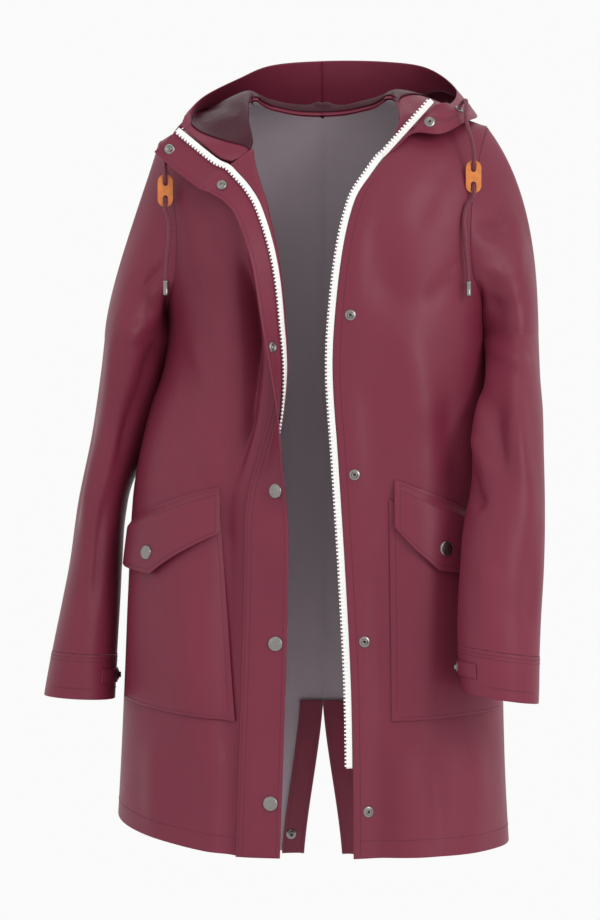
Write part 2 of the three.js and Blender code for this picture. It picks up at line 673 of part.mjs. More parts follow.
function hoodNeck(section) {
  const rows = HOOD.map(({ neck }, n) => ({ n, x: neck[0], z: neck[1] }));
  const shoulder = NECK_ORDER.right.shoulder;
  const face = section < shoulder || section > HOOD_LAST - shoulder ? -1 : 1;
  return onBody(face, along(rows, "n", "x", section), along(rows, "n", "z", section));
}

function hoodPoint(section, part) {
  const place = clamp(section / HOOD_LAST);
  const ringAt = (up) =>
    new THREE.CatmullRomCurve3(
      HOOD_STATIONS.map((points) => new THREE.CatmullRomCurve3(points, false, "centripetal").getPoint(up)),
      false,
      "centripetal",
    ).getPoint(place);
  const point = ringAt(part);
  if (part > 0.25 || section < 1 || section === HOOD_LAST) return point;
  const slip = hoodNeck(section).sub(ringAt(0));
  slip.z += HOOD_RISE;
  return point.addScaledVector(slip, 1 - smooth(part / 0.25));
}

function hoodNormal(section, part) {
  const step = 0.02;
  const across = hoodPoint(section + step * 2, part).sub(hoodPoint(section - step * 2, part));
  const up = hoodPoint(section, Math.min(1, part + step)).sub(hoodPoint(section, Math.max(0, part - step)));
  return across.cross(up).normalize();
}

// The hood's halves and the lining share these steps, so that their walls run side by side.
const HOOD_GRID = { perSection: 3, up: 12 };

function addHoodWall(name, first, last, from, to, lift, options) {
  const { perSection, up } = HOOD_GRID;
  const section = (c) => {
    const place = first + c / perSection;
    return place === HOOD_MIDDLE && name !== "hood_lining" ? place + (first === 0 ? -HALF_GAP : HALF_GAP) : place;
  };
  const part = (r) => from + r / up;
  addWall(
    name,
    Math.round((to - from) * up),
    Math.round((last - first) * perSection),
    (r, c) => hoodPoint(section(c), part(r)).addScaledVector(hoodNormal(section(c), part(r)), lift),
    { normalAt: (r, c) => hoodNormal(section(c), part(r)), ...options },
  );
}

const HALF_GAP = 0.006; // of a section, at the hood's middle seam
const LINING = { first: 1, last: HOOD_LAST - 3, from: 1 / 12, to: 10 / 12, thick: 1 };
addHoodWall("hood_right", 0, HOOD_MIDDLE, 0, 1, 0);
addHoodWall("hood_left", HOOD_MIDDLE, HOOD_LAST, 0, 1, 0);
const LINING_LIFT = (CLOTH + LINING.thick) / 2 + 2 * SEAM;
addHoodWall("hood_lining", LINING.first, LINING.last, LINING.from, LINING.to, LINING_LIFT, {
  thickness: LINING.thick,
  kind: "lining",
});

// Patch pockets and flaps, made from the front's own places moved out.
function pocketPlace(side, part, down) {
  const p = POCKET[side];
  const sign = side === "left" ? 1 : -1;
  const innerZ = mix(p.top, p.bottom, down);
  const outerZ = mix(p.topOuter, p.bottomOuter, down);
  const z = mix(innerZ, outerZ, part);
  const inner = angleAtX(mix(p.topX, p.bottomX, down), z);
  return { x: xAtAngle(mix(inner, sign * p.outer, part), z), z };
}

const PATCH_LIFT = { left: 2.2, right: 3.25 }; // of a patch's border: the folds under it need a little room

function pocketLift(side, part, down) {
  const fill = clamp(4 * part * (1 - part)) ** 0.7 * clamp(4 * down * (1 - down)) ** 0.7;
  return PATCH_LIFT[side] + POCKET_BULGE * fill;
}

function pocketLiftAt(side, x, z) {
  const p = POCKET[side];
  const down = clamp((p.top - z) / (p.top - p.bottom));
  const inner = angleAtX(mix(p.topX, p.bottomX, down), z);
  const outer = side === "left" ? p.outer : -p.outer;
  return pocketLift(side, clamp((angleAtX(x, z) - inner) / (outer - inner)), down);
}

function flapPlace(side, part, down) {
  const f = FLAP[side];
  const sign = side === "left" ? 1 : -1;
  const peak = part < f.pointAt ? part / f.pointAt : (1 - part) / (1 - f.pointAt);
  const z = mix(f.topInner, f.topOuter, part) - down * (f.drop + f.point * peak);
  return { x: xAtAngle(mix(angleAtX(f.innerX, z), sign * f.outer, part), z), z };
}

function flapLift(side, part, down) {
  const { x, z } = flapPlace(side, part, down);
  const over = smooth(down * 5); // the flap's seam lies on the front, and the rest over the pocket
  return mix(FLAP_LIFT, pocketLiftAt(side, x, z) + ON_CLOTH + 1.5, over) + FLAP_STAND * down;
}

function addOnFront(name, side, place, lift, rows, columns) {
  const spot = (r, c) => place(side, c / columns, r / rows);
  const height = (r, c) => lift(side, c / columns, r / rows);
  addWall(name, rows, columns, (r, c) => onBody(-1, spot(r, c).x, spot(r, c).z, height(r, c)), {
    normalAt: (r, c) => bodyNormal(-1, spot(r, c).x, spot(r, c).z),
  });
}

// A round fastener on a surface: a disc of the given size whose back is at the point.
function addDisc(name, point, normal, { radius, height }, kind = "metal") {
  const disc = new THREE.CylinderGeometry(radius * 0.86, radius, height, 14);
  disc.translate(0, height / 2, 0);
  const mesh = add(name, disc, kind);
  mesh.position.copy(point);
  mesh.quaternion.setFromUnitVectors(new THREE.Vector3(0, 1, 0), normal);
  return mesh;
}

for (const side of ["left", "right"]) {
  addOnFront("pocket_" + side, side, pocketPlace, pocketLift, 7, 11);
  addOnFront("flap_" + side, side, flapPlace, flapLift, 7, 12);
  const at = FLAP[side].snapAt;
  const { x, z } = flapPlace(side, at, SNAP_DOWN);
  const lift = flapLift(side, at, SNAP_DOWN) + CLOTH / 2 + 3 * SEAM;
  addDisc("flap_snap_" + side, onBody(-1, x, z, lift), bodyNormal(-1, x, z), SNAP);
}

// Fly snaps: caps on its outer face low down, and sockets on the inner face that shows where it is turned.
const FLY_HALF = FACED / 2 + SEAM;
const between = (a, b) => ({ at: (s, lift) => a.at(s, lift).lerp(b.at(s, lift), 0.5) });
const FLY_SNAPS = [
  { edge: between(rightEdgeRows[0], rightEdgeRows[1]), s: 22, shows: -1, clear: 2 },
  { edge: rollRows[1], s: 19, shows: -1, clear: 1.6 },
  { edge: rollRows[10], s: 17, shows: -1, clear: 1.2 },
  { edge: rollRows[16], s: 15, shows: 1, clear: 1.5 },
  { edge: rollRows[22], s: 15, shows: 1, clear: 0.2 },
  { edge: rollRows[28], s: 15, shows: 1, clear: 0.2 },
];
FLY_SNAPS.forEach(({ edge, s, shows, clear }, n) => {
  const away = edge.at(s, 1).sub(edge.at(s, 0)).multiplyScalar(shows).normalize();
  const size = shows > 0 ? SNAP : STUD;
  addDisc("fly_snap_" + (n + 1), edge.at(s, FLY_MIDDLE).addScaledVector(away, FLY_HALF + clear), away, size);
});

const STUDS = [{ part: 0.93 }, { z: -245 }, { z: -420 }, { z: -600 }, { z: -782 }];
const STUD_INSET = 15;
STUDS.forEach(({ part, z }, n) => {
  const edge = part ? leftCollarRow(part) : leftEdgeRow(z);
  const s = part ? STUD_INSET : -STUD_INSET;
  const point = part ? hoodPoint(HOOD_LAST - 1 / 3, 10 / 12) : edge.at(s, CLOTH / 2 + 2 * SEAM);
  const away = part ? hoodNormal(HOOD_LAST - 1 / 3, 10 / 12) : edge.at(s, 1).sub(edge.at(s, 0)).normalize();
  if (part && away.y > 0) away.negate();
  if (part) point.addScaledVector(away, CLOTH / 2 + 5 * SEAM);
  addDisc("front_stud_" + (n + 1), point, away, STUD);
});

// Vent facings on the inner side of each back half, along the vent.
const VENT_FACING = 27;
const VENT_LIFT = 3.5;
for (const side of ["left", "right"]) {
  const sign = side === "left" ? 1 : -1;
  const zAt = (part) => mix(VENT.top + 6, HEM.back + 1.5, part);
  const xAt = (part, across) => borderX(1, side, zAt(part)) + sign * mix(0.2, VENT_FACING, across);
  addWall(
    "vent_facing_" + side,
    8,
    3,
    (r, c) => onBody(1, xAt(r / 8, c / 3), zAt(r / 8), -VENT_LIFT),
    { normalAt: (r, c) => bodyNormal(1, xAt(r / 8, c / 3), zAt(r / 8)) },
  );
}
const ventSnap = { x: -36, z: -842 };
addDisc(
  "vent_snap",
  onBody(1, ventSnap.x, ventSnap.z, -VENT_LIFT - CLOTH / 2 - 2 * SEAM),
  bodyNormal(1, ventSnap.x, ventSnap.z).negate(),
  STUD,
);

// Cuff tabs, on the cuff's own rings moved out, on the side next to the body.
const TAB = { from: 128, to: 196, half: 8, lift: 2.2 };
for (const side of ["left", "right"]) {
  const table = SLEEVE[side];
  const middle = table[table.length - 1].z + CUFF_DEPTH * 0.52;
  const ring = (part, down, lift) =>
    sleeveRing(side, middle + mix(TAB.half, -TAB.half, down), mix(TAB.from, TAB.to, part), lift);
  addWall("cuff_tab_" + side, 1, 6, (r, c) => ring(c / 6, r, TAB.lift));
  const centre = ring(0.8, 0.5, TAB.lift);
  const away = ring(0.8, 0.5, TAB.lift + 1).sub(centre).setZ(0).normalize();
  addDisc("cuff_snap_" + side, centre.addScaledVector(away, CLOTH / 2 + 4 * SEAM), away, STUD);
}

// The cord's points: its route above the stopper, the swing through the stopper's holes, and its route below.
function cordPoints(side) {
  const [x, y, z] = STOPPER_AT[side];
  const { above, below } = CORD_ROUTE[side];
  const swing = [-1, -0.75, -0.5, -0.25, 0, 0.25, 0.5, 0.75, 1].map((n) => [
    x,
    y + STOPPER.swing * Math.cos(Math.PI * n),
    z - n * STOPPER.apart,
  ]);
  return [...above, ...swing, ...below].map(vector);
}

function stopperShape() {
  const { width, length, apart, hole, slot } = STOPPER;
  const rounded = (outline, middle, wide, long) => {
    const [r, straight] = [wide / 2, (long - wide) / 2];
    outline.moveTo(r, middle - straight);
    outline.lineTo(r, middle + straight);
    outline.absarc(0, middle + straight, r, 0, Math.PI);
    outline.lineTo(-r, middle - straight);
    outline.absarc(0, middle - straight, r, Math.PI, 2 * Math.PI);
    return outline;
  };
  const plate = rounded(new THREE.Shape(), 0, width, length);
  plate.holes = [-1, 1].map((sign) => rounded(new THREE.Path(), (sign * apart) / 2, hole, slot));
  return plate;
}

// Drawcords with their eyelets, leather stoppers and metal tips.
const PLAIN = { curveSegments: 4, bevelEnabled: false };
const EYELET_PLACE = { left: { section: 9.9, part: 11 / 12 }, right: { section: 1.2, part: 0.93 } };
for (const side of ["left", "right"]) {
  const route = cordPoints(side);
  const curve = new THREE.CatmullRomCurve3(route, false, "centripetal");
  const circle = new THREE.Shape().absarc(0, 0, CORD / 2, 0, 2 * Math.PI);
  add(
    "cord_" + side,
    new THREE.ExtrudeGeometry(circle, { ...PLAIN, steps: 42, extrudePath: curve }),
    "cloth",
  );
  const end = route[route.length - 1];
  const tip = new THREE.CylinderGeometry(TIP.radius, TIP.radius * 0.8, TIP.length, 12);
  tip.rotateX(Math.PI / 2);
  add("cord_tip_" + side, tip, "metal").position.set(end.x, end.y, end.z - SEAM - TIP.length / 2);

  const plate = new THREE.ExtrudeGeometry(stopperShape(), { ...PLAIN, depth: STOPPER.thick });
  plate.translate(0, 0, -STOPPER.thick / 2);
  plate.rotateX(Math.PI / 2);
  add("stopper_" + side, plate, "leather").position.copy(vector(STOPPER_AT[side]));

  const { section, part } = EYELET_PLACE[side];
  const away = hoodNormal(section, part).negate();
  const { radius, hole, height } = EYELET;
  const ring = new THREE.LatheGeometry(
    [
      [hole, 0],
      [radius, 0],
      [radius, height / 2],
      [hole, height],
      [hole, 0],
    ].map(([x, y]) => new THREE.Vector2(x, y)),
    14,
  );
  const eyelet = add("eyelet_" + side, ring, "metal");
  eyelet.position.copy(hoodPoint(section, part)).addScaledVector(away, CLOTH / 2 + 4 * SEAM);
  eyelet.quaternion.setFromUnitVectors(new THREE.Vector3(0, 1, 0), away);
}

export default coat;
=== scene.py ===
import math

import bpy
import numpy as np
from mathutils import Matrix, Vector


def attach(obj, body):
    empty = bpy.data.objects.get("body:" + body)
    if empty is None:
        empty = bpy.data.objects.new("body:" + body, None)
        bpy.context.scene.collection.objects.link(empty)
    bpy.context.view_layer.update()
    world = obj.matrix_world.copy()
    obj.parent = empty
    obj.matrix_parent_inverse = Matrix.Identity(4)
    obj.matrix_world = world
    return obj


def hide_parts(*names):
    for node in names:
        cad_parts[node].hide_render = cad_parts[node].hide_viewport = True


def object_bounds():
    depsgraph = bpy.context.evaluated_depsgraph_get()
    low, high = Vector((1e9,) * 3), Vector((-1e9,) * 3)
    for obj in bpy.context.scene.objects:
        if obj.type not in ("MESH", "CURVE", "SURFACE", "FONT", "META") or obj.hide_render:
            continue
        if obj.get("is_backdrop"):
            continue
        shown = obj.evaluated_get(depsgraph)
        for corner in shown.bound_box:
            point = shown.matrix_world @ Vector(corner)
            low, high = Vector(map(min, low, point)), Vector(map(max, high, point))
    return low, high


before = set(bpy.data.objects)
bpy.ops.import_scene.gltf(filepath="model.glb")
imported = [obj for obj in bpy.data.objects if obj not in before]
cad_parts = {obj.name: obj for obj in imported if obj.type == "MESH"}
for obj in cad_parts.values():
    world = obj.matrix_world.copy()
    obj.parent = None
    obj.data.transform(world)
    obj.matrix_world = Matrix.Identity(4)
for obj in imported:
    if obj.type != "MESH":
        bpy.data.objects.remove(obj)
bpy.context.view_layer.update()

# Sizes of the solids
CLOTH = 1.2
SEAM = 0.3
ON_CLOTH = CLOTH + SEAM
FACED = 1.8
LINING = 1
TURN = 0.1
MIDDLE_Y = 5
SQUARENESS = 2.3
NECK_HALF = 80
SHOULDER = {"left": (184, -30), "right": (-184, -43)}
UNDERARM_Z = -240
HEM = {"left": -826, "front": -832, "right": -800, "back": -866}
VENT = {"top": -690, "left": 25, "right": -20, "middle": 2}
BEND = 10
ZIP_WIDTH = 9
ZIP_TUCK = 1.2  # how far the cloth beside a zip reaches over the edge of its tape
CUFF_DEPTH = 50
CORD = 4.5
SIDES = ("left", "right")
SIGN = {"left": 1, "right": -1}

# z, middle, half, front, back
BODY = [
    (20, 0, 205, 116, 97), (-45, 2, 205, 116, 97), (-110, 4, 199, 117, 98), (-200, 4, 184, 118, 100),
    (-250, 4, 177, 118, 101), (-300, 3, 182, 119, 103), (-345, -1, 193, 121, 106), (-400, -5, 202, 124, 110),
    (-450, -8, 206, 126, 114), (-550, -10, 209, 131, 120), (-650, -11, 212, 136, 127),
    (-760, -12, 216, 143, 134), (-880, -12, 223, 150, 141),
]
# face, x, spread, height, top, full
FOLDS = [
    (-1, -150, 26, 9, -300, -640), (-1, -104, 16, -9, -150, -330), (-1, -116, 22, 7, -560, -860),
    (-1, 112, 24, 8, -240, -480), (-1, 62, 18, -6, -520, -800), (-1, 150, 24, 9, -560, -840),
    (1, -120, 30, 12, -260, -700), (1, -62, 24, -8, -320, -760), (1, 66, 26, -9, -300, -720),
    (1, 126, 28, 12, -240, -680),
]
# part, x, drop
ARMHOLE = [
    (0, 184, 0), (0.2, 174, 0.15), (0.4, 165, 0.36), (0.6, 161, 0.58), (0.8, 164, 0.8), (0.93, 172, 0.95),
    (1, 181, 1),
]
# z, x, slope
LEFT_EDGE = [
    (-72, 68, 42), (-88, 57, 38), (-112, 40, 28), (-158, 26, 14), (-230, 16, 5), (-305, 12, 0),
    (-403, 18, -3), (-533, 26, -3), (-663, 32, -2), (-860, 34, 0),
]
# z, x, width, turn, slope, reach, root
ROLL = [
    (-65, -79, 42, 170, 46, 40, -6), (-87, -76, 28, 168, 38, 33, -14), (-112, -68, 19, 163, 30, 28, -20),
    (-140, -61, 15, 151, 22, 27, -20), (-173, -54, 13, 140, 16, 27, -20), (-205, -49, 12, 135, 10, 27, -20),
    (-251, -45, 12, 126, 4, 27, -20), (-305, -43, 12, 109, 0, 27, -20), (-352, -49, 12, 84, 0, 27, -20),
    (-400, -62, 12, 52, 0, 27, -20), (-450, -74, 12, 16, 0, 27, -20), (-520, -76, 12, 0, 0, 27, -20),
    (-645, -79, 12, 0, 0, 27, -20), (-860, -86, 12, 0, 0, 27, -20),
]
# at, slope, turn, reach
COLLAR_EDGE = [
    ((-161, -58, -38), 45, 172, 35), ((-146, -66, -51), 47, 172, 36), ((-131, -74, -64), 49, 171, 36),
    ((-116, -81, -76), 48, 170, 36),
]
# neck (x, z), low, out, rim, stand
HOOD = [
    ((-101, -88), (-121, -76, -72), (-141, -66, -56), (-161, -58, -38), 0),
    ((-79, -65), (-105, -72, -52), (-139, -54, -38), (-153, -45, -22), 5),
    ((-83, -30), (-108, -46, -24), (-143, -28, -26), (-146, -16, -8), 8),
    ((-80, 0), (-106, 24, 4), (-141, 28, -10), (-132, 22, 10), 9),
    ((-55, -3), (-92, 118, -44), (-118, 124, -14), (-96, 76, 36), 10),
    ((-28, -7), (-48, 144, -108), (-68, 168, -44), (-60, 112, 56), 10),
    ((0, -8), (0, 146, -145), (0, 180, -66), (0, 130, 64), 10),
    ((28, -7), (52, 134, -112), (84, 152, -34), (72, 120, 62), 10),
    ((55, -3), (98, 94, -46), (138, 98, 6), (118, 92, 52), 10),
    ((80, 0), (116, 20, 5), (174, 18, -13), (151, 14, 16), 9),
    ((84, -34), (112, -70, -15), (157, -64, -30), (142, -48, -8), 8),
    ((77, -54), (99, -80, -36), (127, -90, -46), (134, -72, -10), 4),
    ((68, -72), (87, -92, -52), (106, -90, -30), (122, -88, -12), 0),
]
# z, x, y, across, deep, tilt
SLEEVE = {
    "left": [
        (-265, 215, -16, 26, 62, 0), (-310, 214, -62, 25, 60, 2), (-345, 210, -98, 29, 54, 4),
        (-385, 202, -122, 36, 52, 5), (-436, 199, -136, 39, 50, 5), (-479, 194, -148, 43, 48, 5),
        (-522, 191, -156, 44, 47, 5), (-566, 188, -160, 44, 46, 5), (-606, 187, -164, 43, 46, 6),
        (-656, 188, -167, 40, 45, 6),
    ],
    "right": [
        (-268, -213, 14, 32, 60, 0), (-305, -219, 26, 31, 60, 0), (-369, -232, 46, 29, 60, 0),
        (-448, -250, 46, 27, 58, 0), (-517, -257, 40, 29, 56, 0), (-562, -262, 34, 32, 54, -1),
        (-620, -269, 26, 36, 51, -2), (-670, -274, 20, 39, 49, -2),
    ],
}
POCKET = {
    "left": dict(topX=71, bottomX=74, outer=74, top=-446, topOuter=-504, bottom=-685, bottomOuter=-676),
    "right": dict(topX=-113, bottomX=-94, outer=76, top=-449, topOuter=-488, bottom=-687, bottomOuter=-668),
}
FLAP = {
    "left": dict(
        innerX=77, outer=76, topInner=-424, topOuter=-486, drop=52, point=31, pointAt=0.25, snapAt=0.3,
    ),
    "right": dict(
        innerX=-113, outer=78, topInner=-432, topOuter=-470, drop=50, point=28, pointAt=0.5, snapAt=0.55,
    ),
}
POCKET_BULGE = 6
FLAP_STAND = 4
SNAP_DOWN = 0.7  # of the way down a flap
FLAP_LIFT = 2.1
PATCH_LIFT = {"left": 2.2, "right": 3.25}
CORD_ROUTE = {
    "left": (
        [(151.6, -49.3, -11.6), (155, -52, -7), (158, -59, -6), (158, -69, -13), (157, -78, -25),
         (159, -86, -40), (163, -91, -55)],
        [(158, -92, -124), (154, -95, -140), (155, -98, -158), (156, -98, -176), (158, -96, -192),
         (159, -95, -209)],
    ),
    "right": (
        [(-150.8, -41.4, -26), (-154, -39.5, -29), (-159, -38, -34), (-164, -38.5, -41), (-169, -42, -52),
         (-172.5, -49, -63), (-174, -56, -74)],
        [(-170, -59, -138), (-169, -61, -150), (-170, -62, -166), (-172, -63, -184), (-173, -63, -206)],
    ),
}
STOPPER = dict(width=17, length=36, thick=2, apart=22, hole=5.8, slot=11.4, swing=5.3)
STOPPER_AT = {"left": (165, -86, -93), "right": (-174, -53, -105)}
EYELET_PLACE = {"left": (9.9, 11 / 12), "right": (1.2, 0.93)}
TIP_LENGTH = 16


# Small tools
def mix(a, b, part):
    return a + (b - a) * part


def smooth(part):
    part = np.clip(part, 0, 1)
    return part * part * (3 - 2 * part)


def unit(v):
    return v / np.maximum(np.linalg.norm(v, axis=-1, keepdims=True), 1e-9)


def column(table, n):
    return np.array([row[n] for row in table], float)


def hermite(a, b, slope_a, slope_b, w):
    """A smooth way from a to b, with the given slopes at its ends."""
    w2, w3 = w**2, w**3
    return (
        (2 * w3 - 3 * w2 + 1) * a + (w3 - 2 * w2 + w) * slope_a
        + (3 * w2 - 2 * w3) * b + (w3 - w2) * slope_b
    )


def run_along(points, axis=0):
    """How far each point lies along its line, from 0."""
    steps = np.cumsum(np.linalg.norm(np.diff(points, axis=axis), axis=-1), axis=axis)
    return np.concatenate([np.zeros_like(np.take(steps, [0], axis=axis)), steps], axis=axis)


def at_steps(line, steps, places):
    """Points of a line at places along it, where steps are its own points' places."""
    return np.stack([np.interp(places, steps, line[:, k]) for k in range(3)], axis=-1)


def wrapped(grid):
    """The same grid with its first column again at its end."""
    return np.concatenate([grid, grid[:, :1]], axis=1)


def along(keys, values, place):
    """The values at a place among the keys, on a smooth curve through them."""
    keys, values = np.asarray(keys, float), np.asarray(values, float)
    sign = 1 if keys[-1] > keys[0] else -1
    last = len(keys) - 2
    place = np.asarray(place, float)
    i = np.clip(np.searchsorted(sign * keys, sign * place, side="left") - 1, 0, last)
    before, after = np.maximum(i - 1, 0), np.minimum(i + 2, last + 1)
    step = keys[i + 1] - keys[i]
    part = np.clip((place - keys[i]) / step, 0, 1)
    slope_a = (values[i + 1] - values[before]) / (keys[i + 1] - keys[before]) * step
    slope_b = (values[after] - values[i]) / (keys[after] - keys[i]) * step
    return hermite(values[i], values[i + 1], slope_a, slope_b, part)


def catmull(points, places):
    """Points of a centripetal curve through the given points, at parts 0 to 1 of it."""
    points = np.asarray(points, float)
    n = len(points)
    full = np.vstack([2 * points[0] - points[1], points, 2 * points[-1] - points[-2]])
    p = (n - 1) * np.clip(np.asarray(places, float), 0, 1)
    i = np.minimum(np.floor(p).astype(int), n - 2)
    w = (p - i)[..., None]
    p0, p1, p2, p3 = full[i], full[i + 1], full[i + 2], full[i + 3]
    gaps = [np.sum((a - b) ** 2, axis=-1, keepdims=True) ** 0.25 for a, b in ((p0, p1), (p1, p2), (p2, p3))]
    d0, d1, d2 = [np.maximum(gap, 1e-4) for gap in gaps]
    t1 = ((p1 - p0) / d0 - (p2 - p0) / (d0 + d1) + (p2 - p1) / d1) * d1
    t2 = ((p2 - p1) / d1 - (p3 - p1) / (d1 + d2) + (p3 - p2) / d2) * d1
    return p1 + t1 * w + (-3 * p1 + 3 * p2 - 2 * t1 - t2) * w**2 + (2 * p1 - 2 * p2 + t1 + t2) * w**3


def denser(grid, per_row, per_column):
    """A grid of points with more rows and columns, on smooth curves through them."""
    def refine(g, per):
        n = g.shape[0]
        places = np.linspace(0, n - 1, (n - 1) * per + 1)
        i = np.clip(np.floor(places).astype(int), 0, n - 2)
        w = (places - i).reshape(-1, 1, 1)
        a, b = g[i], g[i + 1]
        before, after = g[np.maximum(i - 1, 0)], g[np.minimum(i + 2, n - 1)]
        return hermite(a, b, (b - before) / 2, (after - a) / 2, w)
    g = refine(grid, per_row)
    return refine(g.transpose(1, 0, 2), per_column).transpose(1, 0, 2)


# The body's form
def shoulder_z(x):
    x = np.asarray(x, float)
    end_x = np.where(x > 0, SHOULDER["left"][0], -SHOULDER["right"][0])
    end_z = np.where(x > 0, SHOULDER["left"][1], SHOULDER["right"][1])
    out = (np.abs(x) - NECK_HALF) / (end_x - NECK_HALF)
    return np.where(out < 0, -14 * out, end_z * out)


def section_of(z):
    keys = column(BODY, 0)
    return [along(keys, column(BODY, n), z) for n in (1, 2, 3, 4)]


def body_y(face, x, z):
    x, z = np.broadcast_arrays(np.asarray(x, float), np.asarray(z, float))
    middle, half, front, back = section_of(z)
    depth = front if face < 0 else back
    chest_z, chest_round = (-200, 2.2) if face < 0 else (-120, 3)
    sideways = np.minimum(1, np.abs((x - middle) / half))
    upward = np.clip((z - chest_z) / (shoulder_z(x) - chest_z), 0, 1)
    across = (1 - sideways**SQUARENESS) ** (1 / SQUARENESS)
    up = (1 - upward**chest_round) ** (1 / chest_round)
    fold = 0
    for f, fx, spread, height, top, full in FOLDS:
        if f == face:
            fold = fold + (
                height * smooth((z - top) / (full - top)) * np.exp(-(((x - fx) / spread) ** 2)) * across
            )
    return MIDDLE_Y - TURN * x + face * (SEAM / 2 + depth * across * up + fold)


def body_normal(face, x, z):
    x, z = np.broadcast_arrays(np.asarray(x, float), np.asarray(z, float))
    step = 0.4
    inward = np.where(x > section_of(z)[0], -step, step)
    y = body_y(face, x, z)
    slope_x = (body_y(face, x + inward, z) - y) / inward
    slope_z = (y - body_y(face, x, z - step)) / step
    return unit(np.stack([-slope_x, np.ones_like(x), -slope_z], axis=-1) * face)


def on_body(face, x, z, lift=0):
    x, z = np.broadcast_arrays(np.asarray(x, float), np.asarray(z, float))
    point = np.stack([x, body_y(face, x, z), z], axis=-1)
    return point + body_normal(face, x, z) * np.asarray(lift, float)[..., None]


def x_at_angle(degrees, z):
    sine = np.sin(np.radians(degrees))
    middle, half = section_of(z)[:2]
    return middle + half * np.sign(sine) * np.abs(sine) ** (2 / SQUARENESS)


def angle_at_x(x, z):
    middle, half = section_of(z)[:2]
    out = (x - middle) / half
    return np.sign(out) * np.degrees(np.arcsin(np.minimum(1, np.abs(out)) ** (SQUARENESS / 2)))


def hem_z(face, degrees):
    side = HEM["left"] if degrees > 0 else HEM["right"]
    middle = HEM["front"] if face < 0 else HEM["back"]
    return mix(middle, side, smooth(abs(degrees) / 90))


# Creases: a line of points on a piece's own plane, how wide and how high it is. They fade at both ends.
def creases(u, v, table):
    """Height of the creases at places u, v, in millimetres."""
    total = np.zeros(np.broadcast(u, v).shape)
    for points, width, height in table:
        best = np.full(total.shape, 1e9)
        place = np.zeros(total.shape)
        count = len(points) - 1
        for n, (a, b) in enumerate(zip(points[:-1], points[1:])):
            du, dv = b[0] - a[0], b[1] - a[1]
            t = np.clip(((u - a[0]) * du + (v - a[1]) * dv) / (du * du + dv * dv), 0, 1)
            d = np.hypot(u - a[0] - t * du, v - a[1] - t * dv)
            place = np.where(d < best, (n + t) / count, place)
            best = np.minimum(d, best)
        fade = smooth(place / 0.3) * smooth((1 - place) / 0.3)
        wander = 1 + 0.25 * np.sin(0.06 * u + 0.043 * v + width)
        total += height * (0.15 + 0.85 * fade) * wander * np.exp(-((best / width) ** 2))
    return total


# The same for the fronts (face -1) and backs (face 1), in x and z.
PANEL_CREASES = {
    -1: [
        ([(-92, -150), (-80, -215), (-75, -290), (-78, -360), (-92, -440)], 11, -24),
        ([(-108, -200), (-103, -290), (-106, -380), (-124, -440)], 15, 9),
        ([(-160, -250), (-150, -330), (-160, -420)], 16, -3.5),
        ([(-152, -262), (-128, -300), (-112, -350)], 12, 3),
        ([(-100, -425), (-97, -520), (-92, -640), (-92, -740)], 9, -3),
        ([(-108, -700), (-112, -760), (-118, -850)], 14, 3),
        ([(-150, -700), (-146, -770), (-150, -840)], 18, -4),
        ([(-180, -690), (-184, -760), (-186, -830)], 14, 4),
        ([(58, -130), (70, -190), (76, -250)], 26, -5),
        ([(100, -230), (104, -310), (98, -400)], 28, 6),
        ([(60, -300), (52, -380), (54, -470)], 20, -3),
        ([(130, -330), (140, -400), (150, -440)], 14, -4),
        ([(150, -200), (128, -215), (108, -240)], 10, -2),
        ([(58, -500), (54, -600), (58, -720)], 12, -3),
        ([(84, -700), (80, -770), (82, -850)], 16, 4),
        ([(120, -700), (122, -770), (120, -850)], 14, -4),
        ([(160, -690), (165, -770), (168, -850)], 16, 4),
        ([(140, -70), (120, -110), (100, -160)], 14, -2.5),
        ([(-140, -90), (-120, -140), (-100, -200)], 16, -2.5),
    ],
    1: [
        ([(-150, -150), (-110, -200), (-60, -230)], 18, -4),
        ([(150, -150), (112, -196), (64, -226)], 18, -4),
        ([(-150, -240), (-120, -330), (-110, -440)], 16, 5),
        ([(150, -240), (124, -330), (110, -450)], 16, 5),
        ([(-40, -260), (-34, -380), (-44, -520)], 18, -5),
        ([(36, -280), (44, -400), (40, -560)], 18, -5),
        ([(0, -240), (4, -340), (0, -460)], 16, 3),
        ([(-160, -500), (-150, -620), (-156, -760)], 18, -6),
        ([(160, -500), (152, -620), (158, -780)], 18, -6),
        ([(-90, -560), (-86, -700), (-92, -860)], 16, 5),
        ([(88, -560), (92, -700), (88, -860)], 16, 5),
        ([(-186, -300), (-170, -340), (-140, -360)], 10, -4),
        ([(186, -300), (170, -336), (142, -352)], 10, -4),
    ],
}
DARTS = [  # the bust darts: short sewn lines that pull the cloth in a little
    ([(-150, -194), (-140, -203), (-133, -214)], 2.2, -1.6),
    ([(132, -200), (143, -190), (152, -182)], 2.2, -1.3),
]
